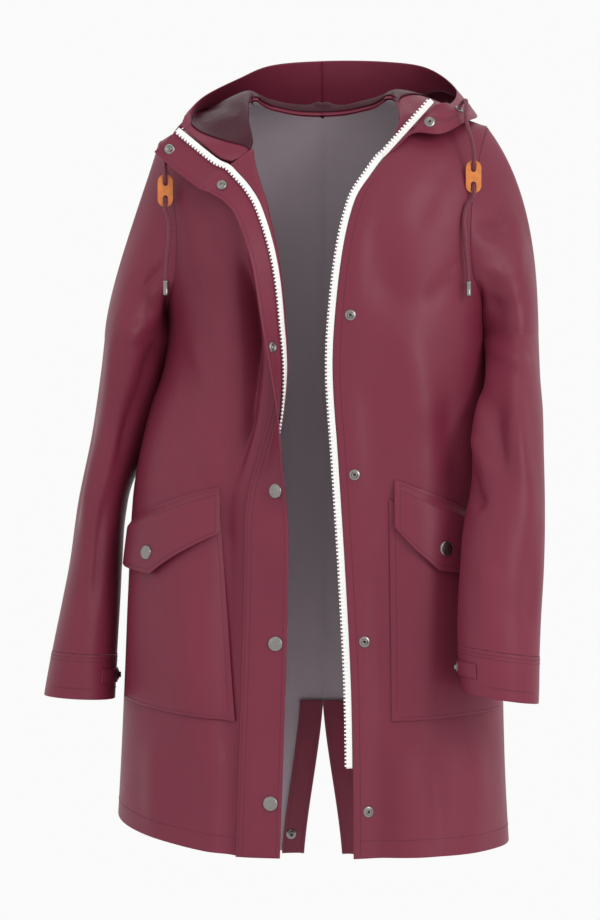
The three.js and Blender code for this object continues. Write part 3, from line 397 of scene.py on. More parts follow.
SLEEVE_CREASES = {  # angle round the sleeve in degrees, and z
    "left": [
        ([(150, -120), (110, -150), (70, -150), (30, -130)], 10, -5),
        ([(150, -190), (110, -200), (70, -190), (40, -160)], 9, 2.5),
        ([(160, -225), (125, -236), (85, -236), (50, -215)], 11, -3),
        ([(165, -262), (125, -285), (90, -300), (60, -290)], 9, 4),
        ([(170, -300), (140, -345), (110, -390), (90, -430)], 13, -7),
        ([(120, -300), (95, -350), (70, -420), (60, -500)], 14, 5),
        ([(170, -370), (150, -400), (120, -420)], 9, 4.5),
        ([(175, -410), (150, -440), (125, -455)], 8, -5),
        ([(60, -480), (50, -540), (52, -590)], 12, -3),
        ([(120, -500), (110, -550), (112, -600)], 12, 3),
        ([(210, -290), (240, -320), (280, -330)], 10, 5),
        ([(205, -330), (240, -352), (290, -356)], 9, -6),
        ([(215, -370), (250, -385), (300, -380)], 9, 5),
        ([(300, -200), (320, -260), (320, -330)], 14, -4),
        ([(250, -440), (260, -520), (250, -590)], 14, 4),
    ],
    "right": [
        ([(150, -160), (120, -200), (90, -215), (50, -190)], 11, -4.5),
        ([(160, -220), (130, -250), (95, -262), (60, -245)], 10, 4),
        ([(160, -262), (135, -300), (120, -360), (118, -430)], 13, -6),
        ([(70, -200), (62, -300), (64, -420), (70, -520)], 18, 4),
        ([(110, -420), (100, -500), (102, -590)], 13, -3.5),
        ([(30, -330), (26, -420), (30, -500)], 12, -3),
        ([(200, -290), (235, -330), (280, -350)], 11, 4.5),
        ([(205, -350), (240, -380), (290, -388)], 10, -5),
        ([(210, -400), (245, -420), (300, -420)], 10, 4),
        ([(300, -200), (315, -280), (312, -360)], 14, -4),
        ([(240, -450), (250, -540), (245, -610)], 14, 4),
    ],
}
INNER_FOLD = {  # a soft fold of each sleeve that leans towards the body
    "left": [([(158, -205), (158, -262), (156, -320), (162, -400)], 22, 15)],
    "right": [([(192, -215), (192, -270), (192, -350), (190, -450)], 22, 11)],
}
DEGREE = 0.75  # millimetres round a sleeve for each degree, in the plane of its creases


def border_x(face, side, z):
    if face < 0:
        if side == "left":
            return along(column(LEFT_EDGE, 0), column(LEFT_EDGE, 1), z)
        return along(column(ROLL, 0), column(ROLL, 1), z) - SEAM
    part = (z - VENT["top"]) / (HEM["back"] - VENT["top"])
    opened = smooth(part) * 0.4 + 0.6 * np.clip(part, 0, 1)
    return VENT["middle"] + SIGN[side] * SEAM / 2 + (VENT[side] - VENT["middle"]) * opened


def crease_mask(face, x, z):
    """Creases end short of the seams, where one piece joins the next."""
    side = smooth((88 - np.abs(angle_at_x(x, z))) / 16)
    top = smooth((shoulder_z(x) - 18 - z) / 40)
    if face < 0:
        edge = np.where(x > 0, x - border_x(-1, "left", z) - 14, border_x(-1, "right", z) - x - 16)
    else:
        edge = np.where(z < VENT["top"] + 30, np.abs(x) - 26, np.abs(x - VENT["middle"]) + 4)
    return side * top * smooth(edge / 18)


def cloth_lift(face, x, z):
    lift = creases(x, z, PANEL_CREASES[face]) * crease_mask(face, x, z)
    return lift + creases(x, z, DARTS) if face < 0 else lift


def on_cloth(face, x, z, lift=0):
    """A place on a front or back with its creases, lifted to the outer side."""
    return on_body(face, x, z, cloth_lift(face, x, z) + lift)


# Meshes
LIP = 0.45  # share of the thickness that is left at a free edge
ROUNDED = 0.9  # how far in from a free edge the thickness is full
LEAST_FILL = 0.35  # share of its width times its length that a piece fills at least


def grid_normals(grid, close=False):
    if close:
        wide = np.concatenate([grid[:, -1:], grid, grid[:, :1]], axis=1)
        across = wide[:, 2:] - wide[:, :-2]
    else:
        across = np.gradient(grid, axis=1)
    return unit(np.cross(across, np.gradient(grid, axis=0)))


def quads(index):
    """The four-sided faces between neighbouring rows and columns of vertex numbers."""
    corners = index[:-1, :-1], index[1:, :-1], index[1:, 1:], index[:-1, 1:]
    return np.stack([corner.ravel() for corner in corners], axis=1)


def new_object(name, points, faces, mats, uvs=None, face_slots=None):
    mesh = bpy.data.meshes.new(name)
    mesh.from_pydata((np.asarray(points) / 1000).tolist(), [], [list(f) for f in faces])
    for m in mats:
        mesh.materials.append(m)
    if uvs is not None:
        layer = mesh.uv_layers.new(name="UVMap")
        index = np.zeros(len(mesh.loops), np.int32)
        mesh.loops.foreach_get("vertex_index", index)
        layer.data.foreach_set("uv", np.asarray(uvs, np.float32)[index].ravel())
    if face_slots is not None:
        mesh.polygons.foreach_set("material_index", np.asarray(face_slots, np.int32))
    mesh.polygons.foreach_set("use_smooth", np.full(len(mesh.polygons), True))
    mesh.validate()
    mesh.update()
    obj = bpy.data.objects.new(name, mesh)
    bpy.context.scene.collection.objects.link(obj)
    return obj


def finish_piece(obj, slot, *nodes):
    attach(obj, "root")
    if nodes:
        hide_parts(*nodes)
    return obj


def lengths(grid, close=False):
    """The longest row and column of a grid, and its area, in metres."""
    wide = wrapped(grid) if close else grid
    width = np.linalg.norm(np.diff(wide, axis=1), axis=-1).sum(axis=1).max()
    length = np.linalg.norm(np.diff(wide, axis=0), axis=-1).sum(axis=0).max()
    a = wide[1:, 1:] - wide[:-1, :-1]
    b = wide[1:, :-1] - wide[:-1, 1:]
    area = np.linalg.norm(np.cross(a, b), axis=-1).sum() / 2
    return width / 1000, length / 1000, area / 1e6


def shell(
    name, grid, out, mats, slot, thickness=CLOTH, close=False, nodes=None, joined=(),
):
    """A closed thin shell on a grid of points. out is a vector, or a grid of them, on the outer side.

    Its edges are rounded, apart from the joined ones: the first or last column, where a seam meets it."""
    rows, columns = grid.shape[:2]
    normals = grid_normals(grid, close)
    towards = np.sum(normals * out, axis=-1)
    if np.mean(towards) < 0:
        normals = -normals
    def lip(distance):
        return LIP + (1 - LIP) * np.sqrt(np.clip(distance / ROUNDED, 0, 1))
    down, over = run_along(grid), run_along(grid, 1)
    soft = lip(down) * lip(down[-1:] - down)
    if not close:
        start = 1 if "first" in joined else lip(over)
        end = 1 if "last" in joined else lip(over[:, -1:] - over)
        soft = soft * start * end
    half = (normals * (thickness / 2 * soft)[..., None]).reshape(-1, 3)
    flat = grid.reshape(-1, 3)
    points = np.vstack([flat + half, flat - half])
    index = np.arange(rows * columns).reshape(rows, columns)
    if close:
        index = wrapped(index)
    n = rows * columns
    outer = quads(index)
    inner = outer[:, [0, 3, 2, 1]] + n
    borders = [index[0], index[-1][::-1]]
    if not close:
        borders += [index[::-1, 0], index[:, -1]]
    rims = []
    for line in borders:
        p, q = line[:-1], line[1:]
        rims.append(np.stack([p, q, q + n, p + n], axis=1))
    faces = np.vstack([outer, inner, *rims])
    first = points[outer[0]]
    facing = np.dot(np.cross(first[1] - first[0], first[2] - first[0]), half.reshape(rows, columns, 3)[0, 0])
    if facing < 0:
        faces = faces[:, ::-1]
    slots = np.concatenate([np.zeros(len(outer)), np.ones(len(inner)), np.full(sum(map(len, rims)), 2)])
    u = over - over[:, columns // 2][:, None]
    uv = np.stack([u, -down], axis=-1).reshape(-1, 2) / 1000
    obj = new_object(name + "_sewn", points, faces, mats, np.vstack([uv, uv]), slots)
    finish_piece(obj, slot, *(nodes if nodes is not None else [name]))
    width, length, area = lengths(grid, close)
    width = min(width, area / length / LEAST_FILL)
    return obj


def near_edges(count, length, extra=(0.35, 0.8, 1.5)):
    """Places 0 to 1 that are evenly spaced, with a few more close to both ends of a length in millimetres."""
    even = np.linspace(0, 1, count + 1)
    ends = [e / length for e in extra]
    return np.unique(np.concatenate([even, ends, [1 - e for e in ends]]))


# Materials
COLOURS = dict(
    cloth="#702639", backing="#b0a2aa", lining="#3c0f1e", thread="#4f1626", cord="#6c2238",
    tape="#f4f2ef", teeth="#fbfaf8", metal="#8f8c8a", leather="#cb7430",
)


def material(name, color, roughness=0.5, **values):
    mat = bpy.data.materials.new(name)
    mat.use_nodes = True
    nodes, links = mat.node_tree.nodes, mat.node_tree.links
    shader = nodes["Principled BSDF"]
    shader.inputs["Roughness"].default_value = roughness
    for key, value in values.items():
        shader.inputs[key.replace("_", " ").title().replace("Ior", "IOR")].default_value = value
    shader.inputs["Base Color"].default_value = (*color, 1)
    return mat, nodes, links, shader


def srgb(value):
    parts = [int(value[n : n + 2], 16) / 255 for n in (1, 3, 5)]
    return tuple(c / 12.92 if c < 0.04045 else ((c + 0.055) / 1.055) ** 2.4 for c in parts)


def shade(color, by):
    return tuple(min(1, c * by) for c in color)


def noise(nodes, links, scale, detail=3, vector=None):
    node = nodes.new("ShaderNodeTexNoise")
    node.inputs["Scale"].default_value = scale
    node.inputs["Detail"].default_value = detail
    if vector is not None:
        links.new(vector, node.inputs["Vector"])
    return node.outputs["Fac"]


def colours(nodes, links, factor, shader, low, high, ends=(0.3, 0.7)):
    ramp = nodes.new("ShaderNodeValToRGB")
    ramp.color_ramp.elements[0].position, ramp.color_ramp.elements[1].position = ends
    ramp.color_ramp.elements[0].color = (*low, 1)
    ramp.color_ramp.elements[1].color = (*high, 1)
    links.new(factor, ramp.inputs["Fac"])
    links.new(ramp.outputs["Color"], shader.inputs["Base Color"])


def bumps(nodes, links, shader, heights):
    """heights: (height output, strength, distance in metres), each on the last."""
    normal = None
    for height, strength, distance in heights:
        bump = nodes.new("ShaderNodeBump")
        bump.inputs["Strength"].default_value = strength
        bump.inputs["Distance"].default_value = distance
        links.new(height, bump.inputs["Height"])
        if normal is not None:
            links.new(normal, bump.inputs["Normal"])
        normal = bump.outputs["Normal"]
    links.new(normal, shader.inputs["Normal"])


def rough_range(nodes, links, factor, shader, low, high):
    span = nodes.new("ShaderNodeMapRange")
    span.inputs["To Min"].default_value = low
    span.inputs["To Max"].default_value = high
    links.new(factor, span.inputs["Value"])
    links.new(span.outputs["Result"], shader.inputs["Roughness"])


def place_of(nodes, kind):
    return nodes.new("ShaderNodeTexCoord").outputs[kind]


def scaled(nodes, links, vector, scale, turn=0):
    node = nodes.new("ShaderNodeMapping")
    node.inputs["Scale"].default_value = scale
    node.inputs["Rotation"].default_value = (0, 0, turn)
    links.new(vector, node.inputs["Vector"])
    return node.outputs["Vector"]


def wave(nodes, links, vector, scale, distortion=0):
    node = nodes.new("ShaderNodeTexWave")
    node.inputs["Scale"].default_value = scale
    node.inputs["Distortion"].default_value = distortion
    links.new(vector, node.inputs["Vector"])
    return node.outputs["Fac"]


def maths(nodes, links, kind, a, b):
    node = nodes.new("ShaderNodeMath")
    node.operation = kind
    for value, socket in ((a, node.inputs[0]), (b, node.inputs[1])):
        if isinstance(value, (int, float)):
            socket.default_value = value
        else:
            links.new(value, socket)
    return node.outputs[0]


def make_cloth():
    plum = srgb(COLOURS["cloth"])
    mat, nodes, links, shader = material("rubberised_cloth", plum, 0.45, specular_ior_level=0.26)
    obj = place_of(nodes, "Object")
    colours(nodes, links, noise(nodes, links, 9, 3, obj), shader, shade(plum, 0.94), shade(plum, 1.06))
    rough_range(nodes, links, noise(nodes, links, 30, 4, obj), shader, 0.41, 0.53)
    grain = noise(nodes, links, 2600, 2, obj)
    weave = noise(nodes, links, 700, 2, obj)
    soft = noise(nodes, links, 28, 2, obj)
    bumps(nodes, links, shader, [(soft, 0.25, 0.0016), (weave, 0.12, 0.0002), (grain, 0.18, 0.00008)])
    return mat


def make_backing():
    mauve = srgb(COLOURS["backing"])
    mat, nodes, links, shader = material("knit_backing", mauve, 0.9, sheen_weight=0.25)
    uv = place_of(nodes, "UV")
    ribs = wave(nodes, links, scaled(nodes, links, uv, (1, 0.02, 1)), 260, 0)
    loops = wave(nodes, links, scaled(nodes, links, uv, (0.02, 1, 1), math.pi / 2), 330, 0)
    both = maths(nodes, links, "MULTIPLY", ribs, loops)
    colours(nodes, links, both, shader, shade(mauve, 0.72), shade(mauve, 1.12), (0.05, 0.7))
    fuzz = noise(nodes, links, 900, 2, place_of(nodes, "Object"))
    bumps(nodes, links, shader, [(both, 0.5, 0.0004), (fuzz, 0.3, 0.0002)])
    return mat


def make_lining():
    wine = srgb(COLOURS["lining"])
    mat, nodes, links, shader = material("satin_lining", wine, 0.42, specular_ior_level=0.22)
    obj = place_of(nodes, "Object")
    threads = wave(nodes, links, place_of(nodes, "UV"), 700, 0.4)
    colours(nodes, links, noise(nodes, links, 14, 3, obj), shader, shade(wine, 0.8), shade(wine, 1.2))
    soft = noise(nodes, links, 34, 3, obj)
    bumps(nodes, links, shader, [(soft, 0.45, 0.003), (threads, 0.12, 0.0001)])
    return mat


def make_thread():
    color = srgb(COLOURS["thread"])
    mat, nodes, links, shader = material("sewing_thread", color, 0.6)
    twist = wave(nodes, links, place_of(nodes, "Object"), 900, 2)
    colours(nodes, links, twist, shader, shade(color, 0.75), shade(color, 1.25))
    bumps(nodes, links, shader, [(twist, 0.4, 0.0001)])
    return mat


def make_cord():
    color = srgb(COLOURS["cord"])
    mat, nodes, links, shader = material("braided_cord", color, 0.62, sheen_weight=0.08)
    uv = place_of(nodes, "UV")
    one = wave(nodes, links, scaled(nodes, links, uv, (1, 1, 1), 0.9), 110, 0)
    two = wave(nodes, links, scaled(nodes, links, uv, (1, 1, 1), -0.9), 110, 0)
    braid = maths(nodes, links, "MAXIMUM", one, two)
    colours(nodes, links, braid, shader, shade(color, 0.5), shade(color, 1.15), (0.35, 0.9))
    fuzz = noise(nodes, links, 1500, 2, place_of(nodes, "Object"))
    bumps(nodes, links, shader, [(braid, 0.8, 0.0007), (fuzz, 0.3, 0.0002)])
    return mat


def make_tape():
    color = srgb(COLOURS["tape"])
    mat, nodes, links, shader = material("zip_tape", color, 0.75, sheen_weight=0.2)
    uv = place_of(nodes, "UV")
    over = wave(nodes, links, uv, 380, 0)
    under = wave(nodes, links, scaled(nodes, links, uv, (1, 1, 1), math.pi / 2), 380, 0)
    weave = maths(nodes, links, "MULTIPLY", over, under)
    colours(nodes, links, weave, shader, shade(color, 0.88), color, (0, 0.6))
    bumps(nodes, links, shader, [(weave, 0.5, 0.0003)])
    return mat


def make_teeth():
    color = srgb(COLOURS["teeth"])
    mat, nodes, links, shader = material("moulded_teeth", color, 0.32, coat_weight=0.15)
    fine = noise(nodes, links, 500, 3, place_of(nodes, "Object"))
    colours(nodes, links, fine, shader, shade(color, 0.95), color)
    rough_range(nodes, links, fine, shader, 0.26, 0.4)
    bumps(nodes, links, shader, [(fine, 0.1, 0.0001)])
    return mat


def make_metal():
    color = srgb(COLOURS["metal"])
    mat, nodes, links, shader = material("plated_metal", color, 0.28, metallic=1)
    obj = place_of(nodes, "Object")
    fine = noise(nodes, links, 420, 4, obj)
    colours(nodes, links, fine, shader, shade(color, 0.82), color)
    rough_range(nodes, links, fine, shader, 0.2, 0.42)
    bumps(nodes, links, shader, [(noise(nodes, links, 1800, 2, obj), 0.12, 0.00005)])
    return mat


def make_leather():
    color = srgb(COLOURS["leather"])
    mat, nodes, links, shader = material("tan_leather", color, 0.52, sheen_weight=0.1)
    obj = place_of(nodes, "Object")
    cells = nodes.new("ShaderNodeTexVoronoi")
    cells.inputs["Scale"].default_value = 1400
    links.new(obj, cells.inputs["Vector"])
    blotch = noise(nodes, links, 160, 4, obj)
    colours(nodes, links, blotch, shader, shade(color, 0.82), shade(color, 1.1))
    rough_range(nodes, links, blotch, shader, 0.42, 0.62)
    fine = noise(nodes, links, 3000, 2, obj)
    bumps(nodes, links, shader, [(cells.outputs["Distance"], 0.35, 0.0002), (fine, 0.2, 0.0001)])
    return mat


cloth, backing, lining, thread = make_cloth(), make_backing(), make_lining(), make_thread()
cord_material, tape, teeth = make_cord(), make_tape(), make_teeth()
metal, leather = make_metal(), make_leather()
CLOTH_SIDES = (cloth, backing, cloth)
BOTH_SIDES = (cloth, cloth, cloth)


# Camera
SENSOR = 36
CAMERA_AWAY = 3.2  # metres in front of the coat's middle
VIEW_HEIGHT = 1.035  # metres of the coat's middle plane that the picture is high
camera = bpy.data.objects.new("camera", bpy.data.cameras.new("camera"))
bpy.context.scene.collection.objects.link(camera)
camera.location = (-0.025, -CAMERA_AWAY, -0.403)
camera.rotation_euler = (math.pi / 2, 0, 0)
camera.data.sensor_width = SENSOR
camera.data.lens = SENSOR * CAMERA_AWAY / VIEW_HEIGHT
bpy.context.scene.camera = camera


# Small round things
def lathe(name, profile, at, axis, mats, segments=40):
    """A profile of (radius, height) turned about an axis. One that ends where it starts makes a ring."""
    axis = unit(np.asarray(axis, float))
    side = unit(np.cross(axis, (0.31, 0.2, 0.93)))
    other = np.cross(axis, side)
    angles = np.linspace(0, 2 * math.pi, segments, endpoint=False)
    profile = np.asarray(profile, float)
    ring = np.cos(angles)[:, None] * side + np.sin(angles)[:, None] * other
    points = np.asarray(at) + profile[:, None, :1] * ring[None] + profile[:, None, 1:] * axis
    index = wrapped(np.arange(len(profile) * segments).reshape(len(profile), segments))
    faces = quads(index).tolist()
    if np.allclose(profile[0], profile[-1]):
        count = (len(profile) - 1) * segments
        faces = [[i if i < count else i - count for i in f] for f in faces]
        points = points[:-1]
    else:
        faces += [index[0, -2::-1].tolist(), index[-1, :-1].tolist()]
    return new_object(name, points.reshape(-1, 3), faces, mats)


CAP = [
    (8.1, 0), (8.2, 0.6), (8.0, 1.3), (7.3, 1.9), (6.6, 2.2), (6.1, 2.15), (5.6, 2.3), (3.4, 2.55), (0.05, 2.6),
]
STUD = [
    (5.9, 0), (6.0, 0.6), (5.6, 1.0), (4.2, 1.15), (3.4, 1.5), (3.15, 3.0), (2.7, 3.4), (2.0, 3.4), (1.7, 2.6),
    (0.05, 2.3),
]
SOCKET = [
    (5.9, 0), (6.0, 0.7), (5.5, 1.4), (4.6, 1.9), (3.6, 1.9), (3.0, 1.3), (2.7, 0.6), (1.6, 0.5), (1.2, 0.9),
    (0.05, 1.0),
]
EYELET = [(2.6, 0.1), (3.1, 1.2), (4.2, 1.45), (5.2, 1.0), (5.6, 0.1), (4.2, 0), (2.6, 0.1)]
CORD_TIP = [
    (2.7, 0), (3.3, 0.3), (3.4, 1.2), (3.0, 1.8), (3.0, 12.5), (3.2, 13.2), (3.1, 15.2), (2.4, TIP_LENGTH),
    (0.05, TIP_LENGTH),
]


def fastener(name, profile, at, axis):
    return finish_piece(lathe(name + "_metal", profile, at, axis, (metal,)), "metal", name)


# Sewing: small stitches along lines on the cloth, joined into one mesh.
STITCHES = []


def sew(points, normals, lift=0.1, pitch=3.4, long=2.5, wide=0.55):
    """Adds stitches along a line of points. They lie on the side that the normals point to."""
    steps = run_along(points)
    middles = (np.arange(int(steps[-1] / pitch)) + 0.5) * pitch
    ahead = unit(at_steps(points, steps, middles + 0.6) - at_steps(points, steps, middles - 0.6))
    up = unit(at_steps(normals, steps, middles))
    side = np.cross(ahead, up)
    centre = at_steps(points, steps, middles) + up * lift
    STITCHES.append((centre, ahead * long / 2, side * wide / 2, up * wide * 0.45))


def sew_on_body(face, x, z, lift=CLOTH / 2, outer=1, pitch=3.4):
    """Stitches on a front or back. outer is -1 for its inner side."""
    sew(on_cloth(face, x, z, lift), body_normal(face, x, z) * outer, pitch=pitch)


def make_stitches():
    """One stitch is a thin six-sided spindle."""
    rings, sides = [(-1, 0), (-0.72, 0.8), (0, 1), (0.72, 0.8), (1, 0)], 6
    shape = []
    for place, wide in rings:
        for n in range(sides if wide else 1):
            turn = 2 * math.pi * n / sides
            shape.append((place, wide * math.cos(turn), wide * math.sin(turn)))
    faces = []
    for n in range(sides):
        m = (n + 1) % sides
        faces += [(0, 1 + m, 1 + n), (1 + n, 1 + m, 7 + m), (1 + n, 7 + m, 7 + n), (7 + n, 7 + m, 13 + m),
                  (7 + n, 13 + m, 13 + n), (13 + n, 13 + m, 19)]
    shape, faces = np.array(shape), np.array(faces)
    points, all_faces, start = [], [], 0
    for centre, ahead, side, up in STITCHES:
        made = (
            centre[:, None] + shape[:, :1] * ahead[:, None] + shape[:, 1:2] * side[:, None]
            + shape[:, 2:] * up[:, None]
        )
        points.append(made.reshape(-1, 3))
        all_faces.append((np.arange(len(centre))[:, None, None] * len(shape) + faces + start).reshape(-1, 3))
        start += len(centre) * len(shape)
    obj = new_object("stitches", np.vstack(points), np.vstack(all_faces), (thread,))
    return finish_piece(obj, "cloth")


# Fronts and backs
ROWS, COLUMNS, NECK_ROWS, ARM_ROWS = 24, 11, 3, 8
HEM_STITCH = 19  # how far the hem's stitches are above its edge
EDGE_STITCH = {-1: 6.5, 1: 4.5}  # how far the rows are beside the left front's edge and the centre back seam
MEET = 0.35  # how far a piece runs past its own edge, where the next one is sewn to it
FRONT_INDEX, SHOULDER_INDEX, BACK_INDEX = {"left": 0, "right": 1}, 3, 6  # places in the neck line


def armhole_point(side, part):
    keys = column(ARMHOLE, 0)
    z = mix(SHOULDER[side][1], UNDERARM_Z, along(keys, column(ARMHOLE, 2), part))
    x = SIGN[side] * along(keys, column(ARMHOLE, 1), part)
    return mix(x, x_at_angle(90 * SIGN[side], z), smooth((np.asarray(part) - 0.8) / 0.2)), z


def neck_line(side):
    table = HOOD[::-1] if side == "left" else HOOD
    return np.array([row[0] for row in table], float)


def panel_place(face, side, row, col):
    """The x and z of a place on a front or back, from its row (top to hem) and column (outer side in)."""
    sign = SIGN[side]
    row = np.asarray(row, float)
    low = np.clip((row - ARM_ROWS) / (ROWS - ARM_ROWS), 0, 1)
    outer_x, outer_z = armhole_point(side, np.minimum(1, row / ARM_ROWS))
    side_z = mix(UNDERARM_Z, hem_z(face, 90 * sign), low)
    outer_z = np.where(row > ARM_ROWS, side_z, outer_z)
    outer_x = np.where(row > ARM_ROWS, x_at_angle(90 * sign, side_z), outer_x)
    line = neck_line(side)
    keys = np.arange(len(line))
    corner = FRONT_INDEX[side] if face < 0 else BACK_INDEX
    place = mix(SHOULDER_INDEX, corner, np.minimum(1, row / NECK_ROWS))
    inner_x, inner_z = along(keys, line[:, 0], place), along(keys, line[:, 1], place)
    corner_z = along(keys, line[:, 1], corner)
    high = np.clip((row - NECK_ROWS) / (ARM_ROWS - NECK_ROWS), 0, 1)
    z = np.where(row <= ARM_ROWS, mix(corner_z, UNDERARM_Z, high), mix(UNDERARM_Z, hem_z(face, 0), low))
    inner_z = np.where(row > NECK_ROWS, z, inner_z)
    inner_x = np.where(row > NECK_ROWS, border_x(face, side, z), inner_x)
    if face < 0 and side == "left":
        inner_x = inner_x - ZIP_TUCK * smooth((row - NECK_ROWS) / 0.5)
    part = np.asarray(col, float) / COLUMNS
    z = mix(outer_z, inner_z, part)
    x = x_at_angle(mix(angle_at_x(outer_x, outer_z), angle_at_x(inner_x, inner_z), part), z)
    return x, z


for face, face_name in ((-1, "front"), (1, "back")):
    for side in SIDES:
        rows = near_edges(150, 830)[:, None] * ROWS
        columns = near_edges(72, 190)[None] * COLUMNS
        x, z = panel_place(face, side, rows, columns)
        if face > 0:
            sewn = smooth((z - VENT["top"]) / 20) * (columns / COLUMNS) ** 8
            x = x - SIGN[side] * sewn * MEET
        grid = on_cloth(face, x, z)
        under_arm = smooth((rows - ARM_ROWS) / 0.5) * (1 - columns / COLUMNS) ** 60
        grid[..., 1] -= face * under_arm * MEET
        joined = ("first", "last") if face > 0 else ("first",)
        shell(
            face_name + "_" + side, grid, body_normal(face, x, z), CLOTH_SIDES, "cloth",
            joined=joined,
        )
        x, z = panel_place(face, side, ROWS, np.linspace(0.01, 0.99, 160) * COLUMNS)
        sew_on_body(face, x, z + HEM_STITCH)
        if face > 0 or side == "left":
            z = np.linspace(-95 if face < 0 else -30, hem_z(face, 0) + 3, 260)
            x = border_x(face, side, z) + SIGN[side] * EDGE_STITCH[face]
            sew_on_body(face, x, z, pitch=3)


# The turned front edge
FORWARD = np.array([0, -1, 0.0])


def heading(flat, forward, angle):
    return flat * np.cos(angle)[..., None] + forward * np.sin(angle)[..., None]


def roll_value(n, z):
    return float(along(column(ROLL, 0), column(ROLL, n), z))


def roll_at(z, s, lift):
    """Points of the row at height z, s past the zip's middle line, lifted to the cloth's outer side."""
    x0, width, turn, slope = [roll_value(n, z) for n in (1, 2, 3, 4)]
    turn, slope = math.radians(turn), math.radians(slope)
    s, lift = np.broadcast_arrays(np.asarray(s, float), np.asarray(lift, float))
    length = s + width
    lying = on_body(-1, x0 + length, np.full(s.shape, float(z)), lift)
    start, forward = on_body(-1, x0, z), body_normal(-1, x0, z)
    level = np.array([math.cos(slope), 0, math.sin(slope)])
    flat = unit(level - forward * np.dot(level, forward))
    steps = 24
    point = np.broadcast_to(start, (*s.shape, 3)).copy()
    for n in range(steps):
        bent = turn * smooth((n + 0.5) / steps * length / BEND)
        point = point + heading(flat, forward, bent) * (length / steps)[..., None]
    point = point + heading(flat, forward, turn * smooth(length / BEND) + math.pi / 2) * lift[..., None]
    share = np.where(length > 0, smooth(turn / math.radians(30)), 0)[..., None]
    return mix(lying, point, share)


def collar_at(edge, s, lift):
    at, slope, turn, _ = edge
    flat = np.array([math.cos(math.radians(slope)), 0, math.sin(math.radians(slope))])
    s, lift = np.broadcast_arrays(np.asarray(s, float), np.asarray(lift, float))
    angle = np.full(s.shape, math.radians(turn))
    over, up = heading(flat, FORWARD, angle), heading(flat, FORWARD, angle + math.pi / 2)
    return np.array(at, float) + over * s[..., None] + up * lift[..., None]


ROLL_Z = [mix(ROLL[0][0], HEM["front"], (n / 30) ** 1.15) for n in range(31)]
ZIP_EDGE = ZIP_WIDTH / 2 + SEAM
FLY_MIDDLE = ON_CLOTH + 1.8
COLLAR_ROOT = -4
FLY_OPEN = 10  # the first row whose sewn side of the fly has stitches


class Edge:
    """One row of the right front edge."""

    def __init__(self, number):
        self.collar = COLLAR_EDGE[number] if number < len(COLLAR_EDGE) else None
        self.z = None if self.collar else ROLL_Z[number - len(COLLAR_EDGE)]
        self.reach = self.collar[3] if self.collar else roll_value(5, self.z)
        self.root = COLLAR_ROOT if self.collar else roll_value(6, self.z)
        self.width = 0 if self.collar else roll_value(2, self.z)

    def at(self, s, lift):
        return collar_at(self.collar, s, lift) if self.collar else roll_at(self.z, s, lift)


RIGHT_EDGE = [Edge(n) for n in range(len(COLLAR_EDGE) + len(ROLL_Z))]
ROLL_EDGE = RIGHT_EDGE[len(COLLAR_EDGE):]


def edge_grid(rows, borders, places, lift):
    """A dense grid over rows of an edge. borders has the s that each row starts and ends at."""
    coarse = np.array([row.at(mix(first, last, places), lift) for row, (first, last) in zip(rows, borders)])
    return denser(coarse, 6, 1)


def edge_line(rows, places):
    """A line in the middle of the fly's thickness, with the s of each row."""
    return edge_grid(rows, [(s, s) for s in places], np.zeros(1), FLY_MIDDLE)[:, 0]


def outward(rows, s):
    place = np.full(1, float(s))
    return unit(denser(np.array([row.at(place, 1) - row.at(place, 0) for row in rows]), 6, 1))


borders = [(4 * SEAM - row.width, ZIP_TUCK - ZIP_EDGE) for row in ROLL_EDGE]
grid = edge_grid(ROLL_EDGE, borders, near_edges(10, 12), 0)
shell("facing_right", grid, outward(ROLL_EDGE, -7), BOTH_SIDES, "cloth", FACED)
grid = edge_grid(RIGHT_EDGE, [(row.root, row.reach) for row in RIGHT_EDGE], near_edges(26, 47), FLY_MIDDLE)
out = outward(RIGHT_EDGE, 5)
shell("fly", grid, out, BOTH_SIDES, "cloth", FACED)
line = edge_line(RIGHT_EDGE, [row.reach - 4.2 for row in RIGHT_EDGE])
for sign in (1, -1):
    sew(line + out[:, 0] * sign * FACED / 2, out[:, 0] * sign)
rows = RIGHT_EDGE[FLY_OPEN:]
out = outward(rows, -18)
for inset in (3, 7.5):
    line = edge_line(rows, [row.root + inset for row in rows])
    sew(line + out[:, 0] * FACED / 2, out[:, 0])


# Zips: a woven tape and moulded teeth. One tooth is a rounded block with a narrower head: half of its
# outline (across the zip, along it), and its layers (height, size).
TAPE_THICK = 0.9
TOOTH_PITCH = 4.15
TOOTH_REACH = 1.8  # how far a tooth goes past the tape
TOOTH = [
    (-3.4, 0.75), (-3.1, 1.05), (-0.9, 1.05), (-0.4, 0.8), (0.4, 0.8), (0.9, 1.1), (1.5, 1.1),
    (TOOTH_REACH, 0.7),
]
TOOTH_LAYERS = [(-1.35, 0.72), (-1.05, 1.0), (1.05, 1.0), (1.35, 0.72)]


